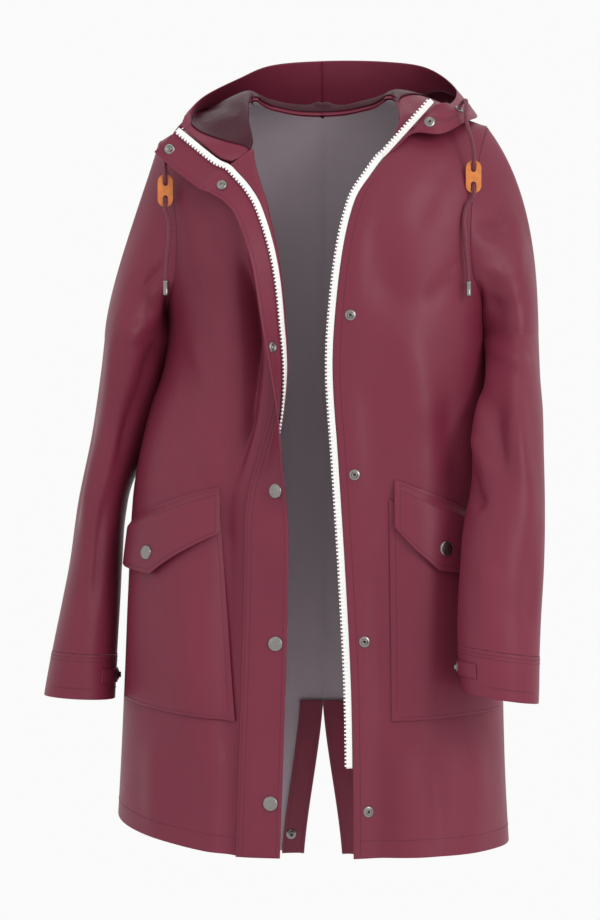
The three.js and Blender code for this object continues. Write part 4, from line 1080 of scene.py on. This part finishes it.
def zip_half(name, rows, s_tape, s_tooth):
    """Half a zip on rows (functions of s and lift). Its tape goes from s_tape to s_tooth."""
    grid = denser(np.array([row(np.linspace(s_tape, s_tooth, 5), np.zeros(5)) for row in rows]), 6, 2)
    start = np.full(1, s_tape)
    out = unit(denser(np.array([row(start, np.ones(1)) - row(start, np.zeros(1)) for row in rows]), 6, 1))
    shell(name + "_tape", grid, out, (tape, tape, tape), "zip", TAPE_THICK, nodes=[name])
    edge, inner = grid[:, -1], grid[:, -3]
    steps = run_along(edge)
    middles = np.arange(TOOTH_PITCH, steps[-1] - 2, TOOTH_PITCH)
    ahead = unit(at_steps(edge, steps, middles + 1) - at_steps(edge, steps, middles - 1))
    across = unit(at_steps(edge, steps, middles) - at_steps(inner, steps, middles))
    up = unit(np.cross(ahead, across))
    ring = np.array(TOOTH + [(a, -b) for a, b in TOOTH[::-1]], float)
    count = len(ring)
    centre_s = (ring[:, 0].min() + ring[:, 0].max()) / 2
    points, faces = [], []
    for height, size in TOOTH_LAYERS:
        wide = centre_s + (ring[:, 0] - centre_s) * mix(1, size, 0.5)
        points.append(np.column_stack([wide, ring[:, 1] * size, np.full(count, height)]))
    shape = np.vstack(points)
    for layer in range(len(TOOTH_LAYERS) - 1):
        for n in range(count):
            m = (n + 1) % count
            base = layer * count
            faces.append((base + n, base + m, base + count + m, base + count + n))
    faces += [list(range(count))[::-1], [3 * count + n for n in range(count)]]
    all_points = (
        at_steps(edge, steps, middles)[:, None] + shape[:, :1] * across[:, None]
        + shape[:, 1:2] * ahead[:, None] + shape[:, 2:] * up[:, None]
    )
    all_faces = [[n * len(shape) + i for i in face] for n in range(len(middles)) for face in faces]
    finish_piece(new_object(name + "_teeth", all_points.reshape(-1, 3), all_faces, (teeth,)), "zip")


zip_half(
    "zip_right", [edge.at for edge in RIGHT_EDGE], ZIP_TUCK - ZIP_WIDTH / 2, ZIP_WIDTH / 2 - TOOTH_REACH,
)


def left_edge_at(z):
    x = float(along(column(LEFT_EDGE, 0), column(LEFT_EDGE, 1), z))
    slope = math.radians(float(along(column(LEFT_EDGE, 0), column(LEFT_EDGE, 2), z)))
    def place(s, lift):
        return on_body(-1, x - np.asarray(s) * math.cos(slope), z + np.asarray(s) * math.sin(slope), lift)
    return place


def left_collar_at(part):
    (nx, nz), _, _, rim, _ = HOOD[-1]
    start = on_body(-1, nx, nz)
    line = np.array(rim, float) - start
    flat = unit(np.array([-line[2], -0.7 * line[0], line[0]]))
    out = unit(np.cross(line, flat))
    if out[1] > 0:
        out = -out
    def place(s, lift):
        across = np.asarray(s, float)[..., None] - ZIP_TUCK
        return start + line * part + across * flat + np.asarray(lift, float)[..., None] * out
    return place


LEFT_ROWS = [left_collar_at(part) for part in (1, 0.75, 0.5, 0.25, 0.04)]
LEFT_ROWS += [left_edge_at(mix(-76, -735, (n / 26) ** 1.1)) for n in range(27)]
zip_half("zip_left", LEFT_ROWS, 2 * SEAM + ZIP_TUCK, 6 * SEAM + ZIP_WIDTH - 2.6)
STUD_IN = 15.0  # how far the studs are from the left front's edge


# Sleeves and cuffs
CAP_ROWS = 7
CAP_SHAPE = {"left": (0.9, 1), "right": (2.3, 0.65)}  # droop and slack


def sleeve_ring(side, z, angle, lift=0):
    """Places round a sleeve. Angle 0 is its outer side, 90 its front and 180 the side to the body."""
    table = SLEEVE[side]
    keys = column(table, 0)
    middle_x, middle_y, across, deep, tilt = [along(keys, column(table, n), z) for n in range(1, 6)]
    c, s = np.cos(np.radians(angle)), np.sin(np.radians(angle))
    x = middle_x + SIGN[side] * c * (across + lift)
    y = middle_y - s * (deep + lift)
    return np.stack(np.broadcast_arrays(x, y, z - c * tilt), axis=-1)


def armhole_curve(side, angle):
    part = np.where(angle <= 180, angle, 360 - angle) / 180
    x, z = armhole_point(side, part)
    front = (angle <= 180)[..., None]
    at = np.where(front, on_body(-1, x, z), on_body(1, x, z))
    normal = np.where(front, body_normal(-1, x, z), body_normal(1, x, z))
    return part, at, normal


def sleeve_cap(side, row, angle):
    """Places on a sleeve's head, from the armhole (row 0) to its first ring (row CAP_ROWS)."""
    part, at, normal = armhole_curve(side, angle)
    front = angle <= 180
    low, high = np.where(front, 0, 181), np.where(front, 180, 360)
    before = armhole_curve(side, np.clip(angle - 1.5, low, high))[1]
    after = armhole_curve(side, np.clip(angle + 1.5, low, high))[1]
    off = unit(np.cross(normal, after - before))
    off = np.where((off[..., :1] * SIGN[side]) < 0, -off, off)
    lean = smooth((part - 0.35) / 0.65)[..., None]
    out = unit(off * (1 - 0.75 * lean) + normal * 0.9 * lean)
    start = at + out * 2 * SEAM
    droop, slack = CAP_SHAPE[side]
    high = smooth(1 - part / 0.75)[..., None]
    leaving = unit(out + np.array([0, 0, -droop]) * high)
    end = sleeve_ring(side, SLEEVE[side][0][0], angle)
    length = np.linalg.norm(start - end, axis=-1, keepdims=True)
    t = np.asarray(row, float)[..., None] / CAP_ROWS
    t2, t3 = t * t, t**3
    return (
        start * (2 * t3 - 3 * t2 + 1) + leaving * (t3 - 2 * t2 + t) * length * mix(1, 0.7, lean)
        + end * (3 * t2 - 2 * t3) + np.array([0, 0, -1.0]) * (t3 - t2) * length * mix(slack, 1, lean)
    )


def sleeve_lift(creases_of_side, angle, z):
    total = 0
    for turn in (-360, 0, 360):
        table = []
        for points, width, height in creases_of_side:
            table.append(([((a + turn) * DEGREE, h) for a, h in points], width, height))
        total = total + creases(angle * DEGREE, z, table)
    return total


CUFF_SEAM = {side: SLEEVE[side][-1][0] + CUFF_DEPTH for side in SIDES}
for side in SIDES:
    top, end, seam = SLEEVE[side][0][0], SLEEVE[side][-1][0], CUFF_SEAM[side]
    angles = np.linspace(0, 360, 120, endpoint=False)[None]
    cap_rows = np.concatenate([[0, 0.03, 0.08], np.linspace(0.16, CAP_ROWS, 50)])[:, None]
    near_seam = [seam + 0.4, seam + 0.9, seam + 1.6]
    drop = np.unique(np.concatenate([np.linspace(top, seam, 86), near_seam]))[::-1][1:, None]
    cap = sleeve_cap(side, cap_rows, angles + 0 * cap_rows)
    grid = np.concatenate([cap, sleeve_ring(side, drop, angles)])
    normals = grid_normals(grid, True)
    centre = grid.mean(axis=1, keepdims=True)
    if np.mean(np.sum(normals * (grid - centre), axis=-1)) < 0:
        normals = -normals
    seam_gap = np.concatenate([cap_rows[:, 0] * 12, np.full(len(drop), 80)])[:, None]
    turned = angles + 0 * grid[..., 2]
    height = sleeve_lift(SLEEVE_CREASES[side], turned, grid[..., 2])
    fold = sleeve_lift(INNER_FOLD[side], turned, grid[..., 2])
    mask = smooth(seam_gap / 26) * smooth((grid[..., 2] - seam) / 30)
    grid = grid + normals * (height * mask)[..., None]
    grid[..., 0] -= SIGN[side] * fold * mask
    shell(
        "sleeve_" + side, grid, grid - centre, CLOTH_SIDES, "cloth", close=True,
    )
    near_seam, near_end = [seam - SEAM, seam - 0.9, seam - 1.6], [end + 1.6, end + 0.9, end]
    drop = np.concatenate([near_seam, np.linspace(seam - 3, end + 3, 16), near_end])[:, None]
    wobble = 0.5 * np.sin(np.radians(angles * 3 + 40)) * smooth((seam - 10 - drop) / 30)
    grid = sleeve_ring(side, drop, angles, 0.5)
    out = grid - grid.mean(axis=1, keepdims=True)
    grid = grid + unit(out) * wobble[..., None]
    shell("cuff_" + side, grid, out, CLOTH_SIDES, "cloth", close=True)
    ring = np.linspace(0, 360, 181)
    for z in (seam - 4, seam - 8, end + 12):
        line = sleeve_ring(side, np.full(181, z), ring, 0.5 + CLOTH / 2)
        sew(line, unit(line - line.mean(axis=0)))


# The hood, its halves and its lining
HOOD_LAST = len(HOOD) - 1
HOOD_RISE = 1.5
HOOD_SPREAD = (60, 190)  # millimetres for a section and for the way up, in the plane of the hood's creases


def hood_neck(section):
    line = neck_line("right")
    keys = np.arange(HOOD_LAST + 1)
    x, z = along(keys, line[:, 0], section), along(keys, line[:, 1], section)
    front = ((section < 3) | (section > HOOD_LAST - 3))[..., None]
    return np.where(front, on_body(-1, x, z), on_body(1, x, z))


def hood_stations():
    """The points from the neck to the rim that each section of the hood goes through."""
    stations = []
    start = np.full(1, -ZIP_EDGE - 1.2)
    for n, ((nx, nz), low, out, rim, stand) in enumerate(HOOD):
        if n == 0:
            points = [roll_at(ROLL[0][0], start, 0)[0]]
            points += [collar_at(edge, start, 0)[0] for edge in COLLAR_EDGE[::-1]]
            points[0] = points[0] + [0, 0, 2.4]
        elif n == HOOD_LAST:
            parts = (0.16, 0.24, 0.36, 0.6, 1)
            points = [left_collar_at(part)(np.full(1, ZIP_TUCK - 3.2), np.zeros(1))[0] for part in parts]
        else:
            neck = on_body(-1 if n < 3 or n > HOOD_LAST - 3 else 1, nx, nz) + [0, 0, 2.4]
            first = mix(neck, np.array(low, float), 0.12)
            first[2] = neck[2] + stand
            points = [neck, first, low, out, rim]
        stations.append(np.array(points, float))
    return stations


STATIONS = hood_stations()


def hood_grid(sections, parts):
    """Points of the hood: rows are parts of the way from the neck to the rim, columns are sections."""
    sections = np.asarray(sections, float)
    def ring(up):
        return catmull([catmull(points, [up])[0] for points in STATIONS], sections / HOOD_LAST)
    slip = hood_neck(sections) - ring(0)
    slip[:, 2] += HOOD_RISE
    rows = []
    for part in parts:
        points = ring(part)
        if part < 0.25:
            inner = ((sections >= 1) & (sections < HOOD_LAST - 0.05))[:, None]
            points = points + np.where(inner, slip * (1 - smooth(part / 0.25)), 0)
        rows.append(points)
    return np.array(rows)


HOOD_CREASES = [
    ([(8.4, 0.35), (8.9, 0.5), (9.6, 0.62)], 16, -5),
    ([(7.4, 0.5), (8.2, 0.62), (9.0, 0.8)], 18, 6),
    ([(9.4, 0.25), (9.9, 0.4), (10.3, 0.55)], 12, -3.5),
    ([(4.6, 0.3), (5.0, 0.5), (5.2, 0.72)], 16, -6),
    ([(3.2, 0.3), (3.8, 0.45), (4.4, 0.7)], 16, 5),
    ([(6.6, 0.2), (7.0, 0.45), (7.1, 0.7)], 18, -5),
    ([(2.0, 0.3), (2.4, 0.5), (3.0, 0.7)], 12, -3),
    ([(5.6, 0.2), (6.0, 0.34), (6.5, 0.2)], 16, 5),
    ([(10.6, 0.35), (11.0, 0.5), (11.4, 0.6)], 12, 2.5),
]


def hood_lift(sections, parts):
    wide, high = HOOD_SPREAD
    table = []
    for points, width, height in HOOD_CREASES:
        table.append(([(a * wide, b * high) for a, b in points], width, height))
    u, v = np.meshgrid(sections * wide, parts * high)
    edge = smooth(parts / 0.15)[:, None] * smooth((1 - parts) / 0.12)[:, None]
    ends = smooth((sections - 0.2) / 0.6) * smooth((HOOD_LAST - 0.2 - sections) / 0.6)
    return creases(u, v, table) * edge * ends


def hood_surface(sections, parts, lift=0):
    grid = hood_grid(sections, parts)
    normals = grid_normals(grid)
    return grid + normals * (hood_lift(sections, parts) + lift)[..., None], normals


HOOD_PARTS = near_edges(64, 200)
HOOD_JOINS = {"hood_right": "last", "hood_left": "first"}  # the column that is sewn to the other half
for name, first, last in (("hood_right", 0, 6), ("hood_left", 6, HOOD_LAST)):
    sections = np.linspace(first, last, 97)
    sections[0 if first else -1] += -0.002 if first else 0.002
    grid, normals = hood_surface(sections, HOOD_PARTS)
    shell(
        name, grid, normals, BOTH_SIDES, "cloth",
        joined=(HOOD_JOINS[name],),
    )
sections = np.linspace(0.9, HOOD_LAST - 2.6, 150)
parts = np.linspace(0.07, 0.86, 50)
grid, normals = hood_surface(sections, parts, (CLOTH + LINING) / 2 + 2 * SEAM)
shell(
    "hood_lining", grid, normals, (lining, lining, lining), "lining", LINING,
)
for part in (0.87, 0.885):
    sections = np.linspace(0.15, HOOD_LAST - 0.15, 400)
    near = np.array([part - 0.01, part, part + 0.01])
    grid, normals = hood_surface(sections, near)
    for sign in (1, -1):
        sew(grid[1] + normals[1] * sign * CLOTH / 2, normals[1] * sign)


def hood_spot(section, part):
    """A place on the hood and the direction away from its inner side."""
    sections = np.array([section - 0.05, section, section + 0.05])
    grid, normals = hood_surface(sections, np.array([part - 0.03, part, min(1, part + 0.03)]))
    return grid[1, 1], -normals[1, 1]


# Patch pockets and flaps
def pocket_place(side, part, down):
    p = POCKET[side]
    z = mix(mix(p["top"], p["bottom"], down), mix(p["topOuter"], p["bottomOuter"], down), part)
    inner = angle_at_x(mix(p["topX"], p["bottomX"], down), z)
    return x_at_angle(mix(inner, SIGN[side] * p["outer"], part), z), z


def pocket_lift(side, part, down):
    fill = np.clip(4 * part * (1 - part), 0, 1) ** 0.7 * np.clip(4 * down * (1 - down), 0, 1) ** 0.7
    return PATCH_LIFT[side] + POCKET_BULGE * fill


def pocket_lift_at(side, x, z):
    p = POCKET[side]
    down = np.clip((p["top"] - z) / (p["top"] - p["bottom"]), 0, 1)
    inner = angle_at_x(mix(p["topX"], p["bottomX"], down), z)
    outer = SIGN[side] * p["outer"]
    return pocket_lift(side, np.clip((angle_at_x(x, z) - inner) / (outer - inner), 0, 1), down)


def flap_place(side, part, down):
    f = FLAP[side]
    peak = np.where(part < f["pointAt"], part / f["pointAt"], (1 - part) / (1 - f["pointAt"]))
    z = mix(f["topInner"], f["topOuter"], part) - down * (f["drop"] + f["point"] * peak)
    return x_at_angle(mix(angle_at_x(f["innerX"], z), SIGN[side] * f["outer"], part), z), z


def flap_lift(side, part, down):
    x, z = flap_place(side, part, down)
    return mix(FLAP_LIFT, pocket_lift_at(side, x, z) + ON_CLOTH + 1.5, smooth(down * 5)) + FLAP_STAND * down


# name, place, lift, materials, rows, length, and the stitched lines (part, down), which go along LINE
LINE = np.linspace(0.04, 0.96, 160)
PATCHES = [
    ("pocket_", pocket_place, pocket_lift, CLOTH_SIDES, 70, 240,
     [(0.035, LINE), (LINE, 0.984), (0.965, LINE)]),
    ("flap_", flap_place, flap_lift, BOTH_SIDES, 36, 70,
     [(LINE, 0.06), (LINE, 0.17), (LINE, 0.93), (0.035, LINE), (0.965, LINE)]),
]
PATCH_WIDTH = 130
for side in SIDES:
    for name, place, lift, mats, count, length, tracks in PATCHES:
        down, part = near_edges(count, length)[:, None], near_edges(60, PATCH_WIDTH)[None]
        x, z = place(side, part, down)
        grid = on_cloth(-1, x, z, lift(side, part, down))
        shell(name + side, grid, body_normal(-1, x, z), mats, "cloth")
        for part, down in tracks:
            part, down = np.broadcast_arrays(part, down)
            x, z = place(side, part, down)
            sew_on_body(-1, x, z, lift(side, part, down) + CLOTH / 2, pitch=3.2)
    at = FLAP[side]["snapAt"]
    x, z = flap_place(side, at, SNAP_DOWN)
    spot = on_cloth(-1, x, z, flap_lift(side, at, SNAP_DOWN) + CLOTH / 2)
    fastener("flap_snap_" + side, CAP, spot, body_normal(-1, x, z))


# Snaps on the fly, and studs on the other front
# the two rows that a snap is between, how far it is from the zip's middle, and the side that it shows on
FLY_SNAPS = [
    (RIGHT_EDGE[0], RIGHT_EDGE[1], 22.0, -1), (ROLL_EDGE[1], ROLL_EDGE[1], 19.0, -1),
    (ROLL_EDGE[10], ROLL_EDGE[10], 17.0, -1), (ROLL_EDGE[16], ROLL_EDGE[16], 15.0, 1),
    (ROLL_EDGE[22], ROLL_EDGE[22], 15.0, 1), (ROLL_EDGE[28], ROLL_EDGE[28], 15.0, 1),
]
for n, (above, below, s, shows) in enumerate(FLY_SNAPS):
    at, low, high = [mix(above.at(s, lift), below.at(s, lift), 0.5) for lift in (FLY_MIDDLE, 0.0, 1.0)]
    away = unit(high - low) * shows
    at = at + away * FACED / 2
    fastener("fly_snap_%d" % (n + 1), CAP if shows > 0 else SOCKET, at, away)
STUD_PLACES = [None, -245, -420, -600, -782]
for n, z in enumerate(STUD_PLACES):
    if z is None:
        at, away = hood_spot(HOOD_LAST - 1 / 3, 10 / 12)
        at = at + away * CLOTH / 2
    else:
        row = left_edge_at(z)
        at = row(-STUD_IN, CLOTH / 2)
        away = unit(row(-STUD_IN, 1) - row(-STUD_IN, 0))
    fastener("front_stud_%d" % (n + 1), STUD, at, away)

# The vent's facings and snap
VENT_LIFT = 3.5
VENT_SNAP = (-36.0, -842.0)
for side in SIDES:
    sign = SIGN[side]
    z = mix(VENT["top"] + 6, HEM["back"] + 1.5, near_edges(60, 180))[:, None]
    x = border_x(1, side, z) + sign * mix(0.2, 27, near_edges(14, 27))[None]
    grid = on_cloth(1, x, z, -VENT_LIFT)
    out = -body_normal(1, x, z + 0 * x)
    shell("vent_facing_" + side, grid, out, BOTH_SIDES, "cloth")
    for off in (4, 23):
        z = np.linspace(VENT["top"], HEM["back"] + 4, 120)
        x = border_x(1, side, z) + sign * off
        sew_on_body(1, x, z, -VENT_LIFT - CLOTH / 2, -1)
at = on_cloth(1, *VENT_SNAP, -VENT_LIFT - CLOTH / 2)
fastener("vent_snap", STUD, at, -body_normal(1, *VENT_SNAP))

# Cuff tabs
TAB = dict(start=128, end=196, half=8, lift=2.2, snap=0.8)
for side in SIDES:
    middle = SLEEVE[side][-1][0] + CUFF_DEPTH * 0.52
    part = near_edges(40, 50)
    half = TAB["half"] * np.sqrt(np.clip((1.02 - part) / 0.12, 0, 1))
    down = np.linspace(-1, 1, 13)[:, None]
    z = middle - down * half[None]
    turned = mix(TAB["start"], TAB["end"], part)[None] + 0 * z
    grid = sleeve_ring(side, z, turned, TAB["lift"])
    out = grid - sleeve_ring(side, z, turned)
    shell("cuff_tab_" + side, grid, out, BOTH_SIDES, "cloth")
    snap_angle = mix(TAB["start"], TAB["end"], TAB["snap"])
    at = sleeve_ring(side, middle, snap_angle, TAB["lift"])
    away = sleeve_ring(side, middle, snap_angle, TAB["lift"] + 1) - at
    away[2] = 0
    fastener("cuff_snap_" + side, STUD, at + unit(away) * CLOTH / 2, away)


# Drawcords, stoppers, tips and eyelets
def cord_points(side):
    x, y, z = STOPPER_AT[side]
    above, below = CORD_ROUTE[side]
    turns = (-1, -0.75, -0.5, -0.25, 0, 0.25, 0.5, 0.75, 1)
    swing = [(x, y + STOPPER["swing"] * math.cos(math.pi * n), z - n * STOPPER["apart"]) for n in turns]
    return np.array(above + swing + below, float)


def tube(name, line, radius, mats, sides=20):
    """A round cord along a line of points."""
    tangent = unit(np.gradient(line, axis=0))
    side = np.zeros_like(line)
    side[0] = unit(np.cross(tangent[0], (0.3, 0.9, 0.1)))
    for n in range(1, len(line)):
        side[n] = unit(side[n - 1] - tangent[n] * np.dot(side[n - 1], tangent[n]))
    other = np.cross(tangent, side)
    angles = np.linspace(0, 2 * math.pi, sides + 1)[:-1]
    ring = np.cos(angles)[None, :, None] * side[:, None] + np.sin(angles)[None, :, None] * other[:, None]
    points = (line[:, None] + radius * ring).reshape(-1, 3)
    uv = np.stack(np.broadcast_arrays(angles[None] * radius, run_along(line)[:, None]), axis=-1) / 1000
    index = wrapped(np.arange(len(line) * sides).reshape(len(line), sides))
    faces = quads(index)[:, [0, 3, 2, 1]].tolist() + [index[0, -2::-1].tolist(), index[-1, :-1].tolist()]
    return new_object(name, points, faces, mats, uv.reshape(-1, 2))


def stopper_mesh(side):
    """A leather plate with round ends, soft edges and two holes for the cord."""
    soft = 0.35
    def rounded(middle, wide, tall, count):
        r, straight = wide / 2, (tall - wide) / 2
        turns = np.linspace(0, math.pi, count)
        top = np.column_stack([r * np.cos(turns), middle + straight + r * np.sin(turns)])
        bottom = np.column_stack([-r * np.cos(turns), middle - straight - r * np.sin(turns)])
        return np.vstack([top, bottom])
    curve = bpy.data.curves.new("stopper_" + side, "CURVE")
    curve.dimensions = "2D"
    curve.fill_mode = "BOTH"
    curve.extrude = (STOPPER["thick"] / 2 - soft) / 1000
    curve.bevel_depth = soft / 1000
    curve.bevel_resolution = 2
    lines = [rounded(0, STOPPER["width"] - 2 * soft, STOPPER["length"] - 2 * soft, 18)]
    for sign in (-1, 1):
        hole, slot = STOPPER["hole"] + 2 * soft, STOPPER["slot"] + 2 * soft
        lines.append(rounded(sign * STOPPER["apart"] / 2, hole, slot, 14)[::-1])
    for line in lines:
        spline = curve.splines.new("POLY")
        spline.points.add(len(line) - 1)
        for point, (x, y) in zip(spline.points, line):
            point.co = (x / 1000, y / 1000, 0, 1)
        spline.use_cyclic_u = True
    made = bpy.data.objects.new("stopper_curve_" + side, curve)
    bpy.context.scene.collection.objects.link(made)
    made.rotation_euler = (math.pi / 2, 0, 0)
    made.location = Vector(STOPPER_AT[side]) / 1000
    bpy.context.view_layer.update()
    mesh = bpy.data.meshes.new_from_object(made.evaluated_get(bpy.context.evaluated_depsgraph_get()))
    mesh.transform(made.matrix_world)
    bpy.data.objects.remove(made)
    obj = bpy.data.objects.new("stopper_" + side + "_leather", mesh)
    mesh.materials.clear()
    mesh.materials.append(leather)
    bpy.context.scene.collection.objects.link(obj)
    return finish_piece(obj, "leather", "stopper_" + side)


for side in SIDES:
    points = cord_points(side)
    line = catmull(points, np.linspace(0, 1, 260))
    cord = tube("cord_" + side + "_braid", line, CORD / 2, (cord_material,))
    finish_piece(cord, "cord", "cord_" + side)
    tip_start = points[-1] + [0, 0, 0.6]
    tip = lathe("cord_tip_" + side + "_metal", CORD_TIP, tip_start, (0, 0, -1), (metal,), 28)
    finish_piece(tip, "metal", "cord_tip_" + side)
    stopper = stopper_mesh(side)
    length = float(np.linalg.norm(np.diff(line, axis=0), axis=-1).sum()) / 1000
    section, part = EYELET_PLACE[side]
    at, away = hood_spot(section, part)
    eyelet = lathe("eyelet_" + side + "_metal", EYELET, at + away * CLOTH / 2, away, (metal,))
    finish_piece(eyelet, "metal", "eyelet_" + side)

make_stitches()

# Floor and light
FLOOR_HALF, FLOOR_Z, FLOOR_PALE = 2300, -1400, 0.86
WORLD = 0.98
corners = [(FLOOR_HALF * a, FLOOR_HALF * b, FLOOR_Z) for a, b in ((-1, -1), (1, -1), (1, 1), (-1, 1))]
pale = material("floor", (FLOOR_PALE, FLOOR_PALE, FLOOR_PALE), 0.8)[0]
new_object("floor", corners, [(0, 1, 2, 3)], (pale,))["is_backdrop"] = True

world = bpy.data.worlds.new("studio")
world.use_nodes = True
world.node_tree.nodes["Background"].inputs["Color"].default_value = (0.98, 0.98, 0.98, 1)
world.node_tree.nodes["Background"].inputs["Strength"].default_value = WORLD
bpy.context.scene.world = world


def area_light(name, at, to, size, power):
    data = bpy.data.lights.new(name, "AREA")
    data.shape = "RECTANGLE"
    data.size, data.size_y = size
    data.energy = power
    obj = bpy.data.objects.new(name, data)
    bpy.context.scene.collection.objects.link(obj)
    obj.location = at
    obj.rotation_euler = (Vector(to) - Vector(at)).to_track_quat("-Z", "Y").to_euler()


area_light("key", (1.9, -2.4, 0.7), (0, 0, -0.4), (0.9, 1.4), 31)
area_light("fill", (-1.9, -1.9, 0.4), (0, 0, -0.4), (0.8, 1.4), 2)
area_light("top", (0.0, -0.3, 2.0), (0, 0, -0.2), (1.0, 1.0), 5)
bpy.context.scene.view_settings.view_transform = "Standard"

low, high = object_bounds()
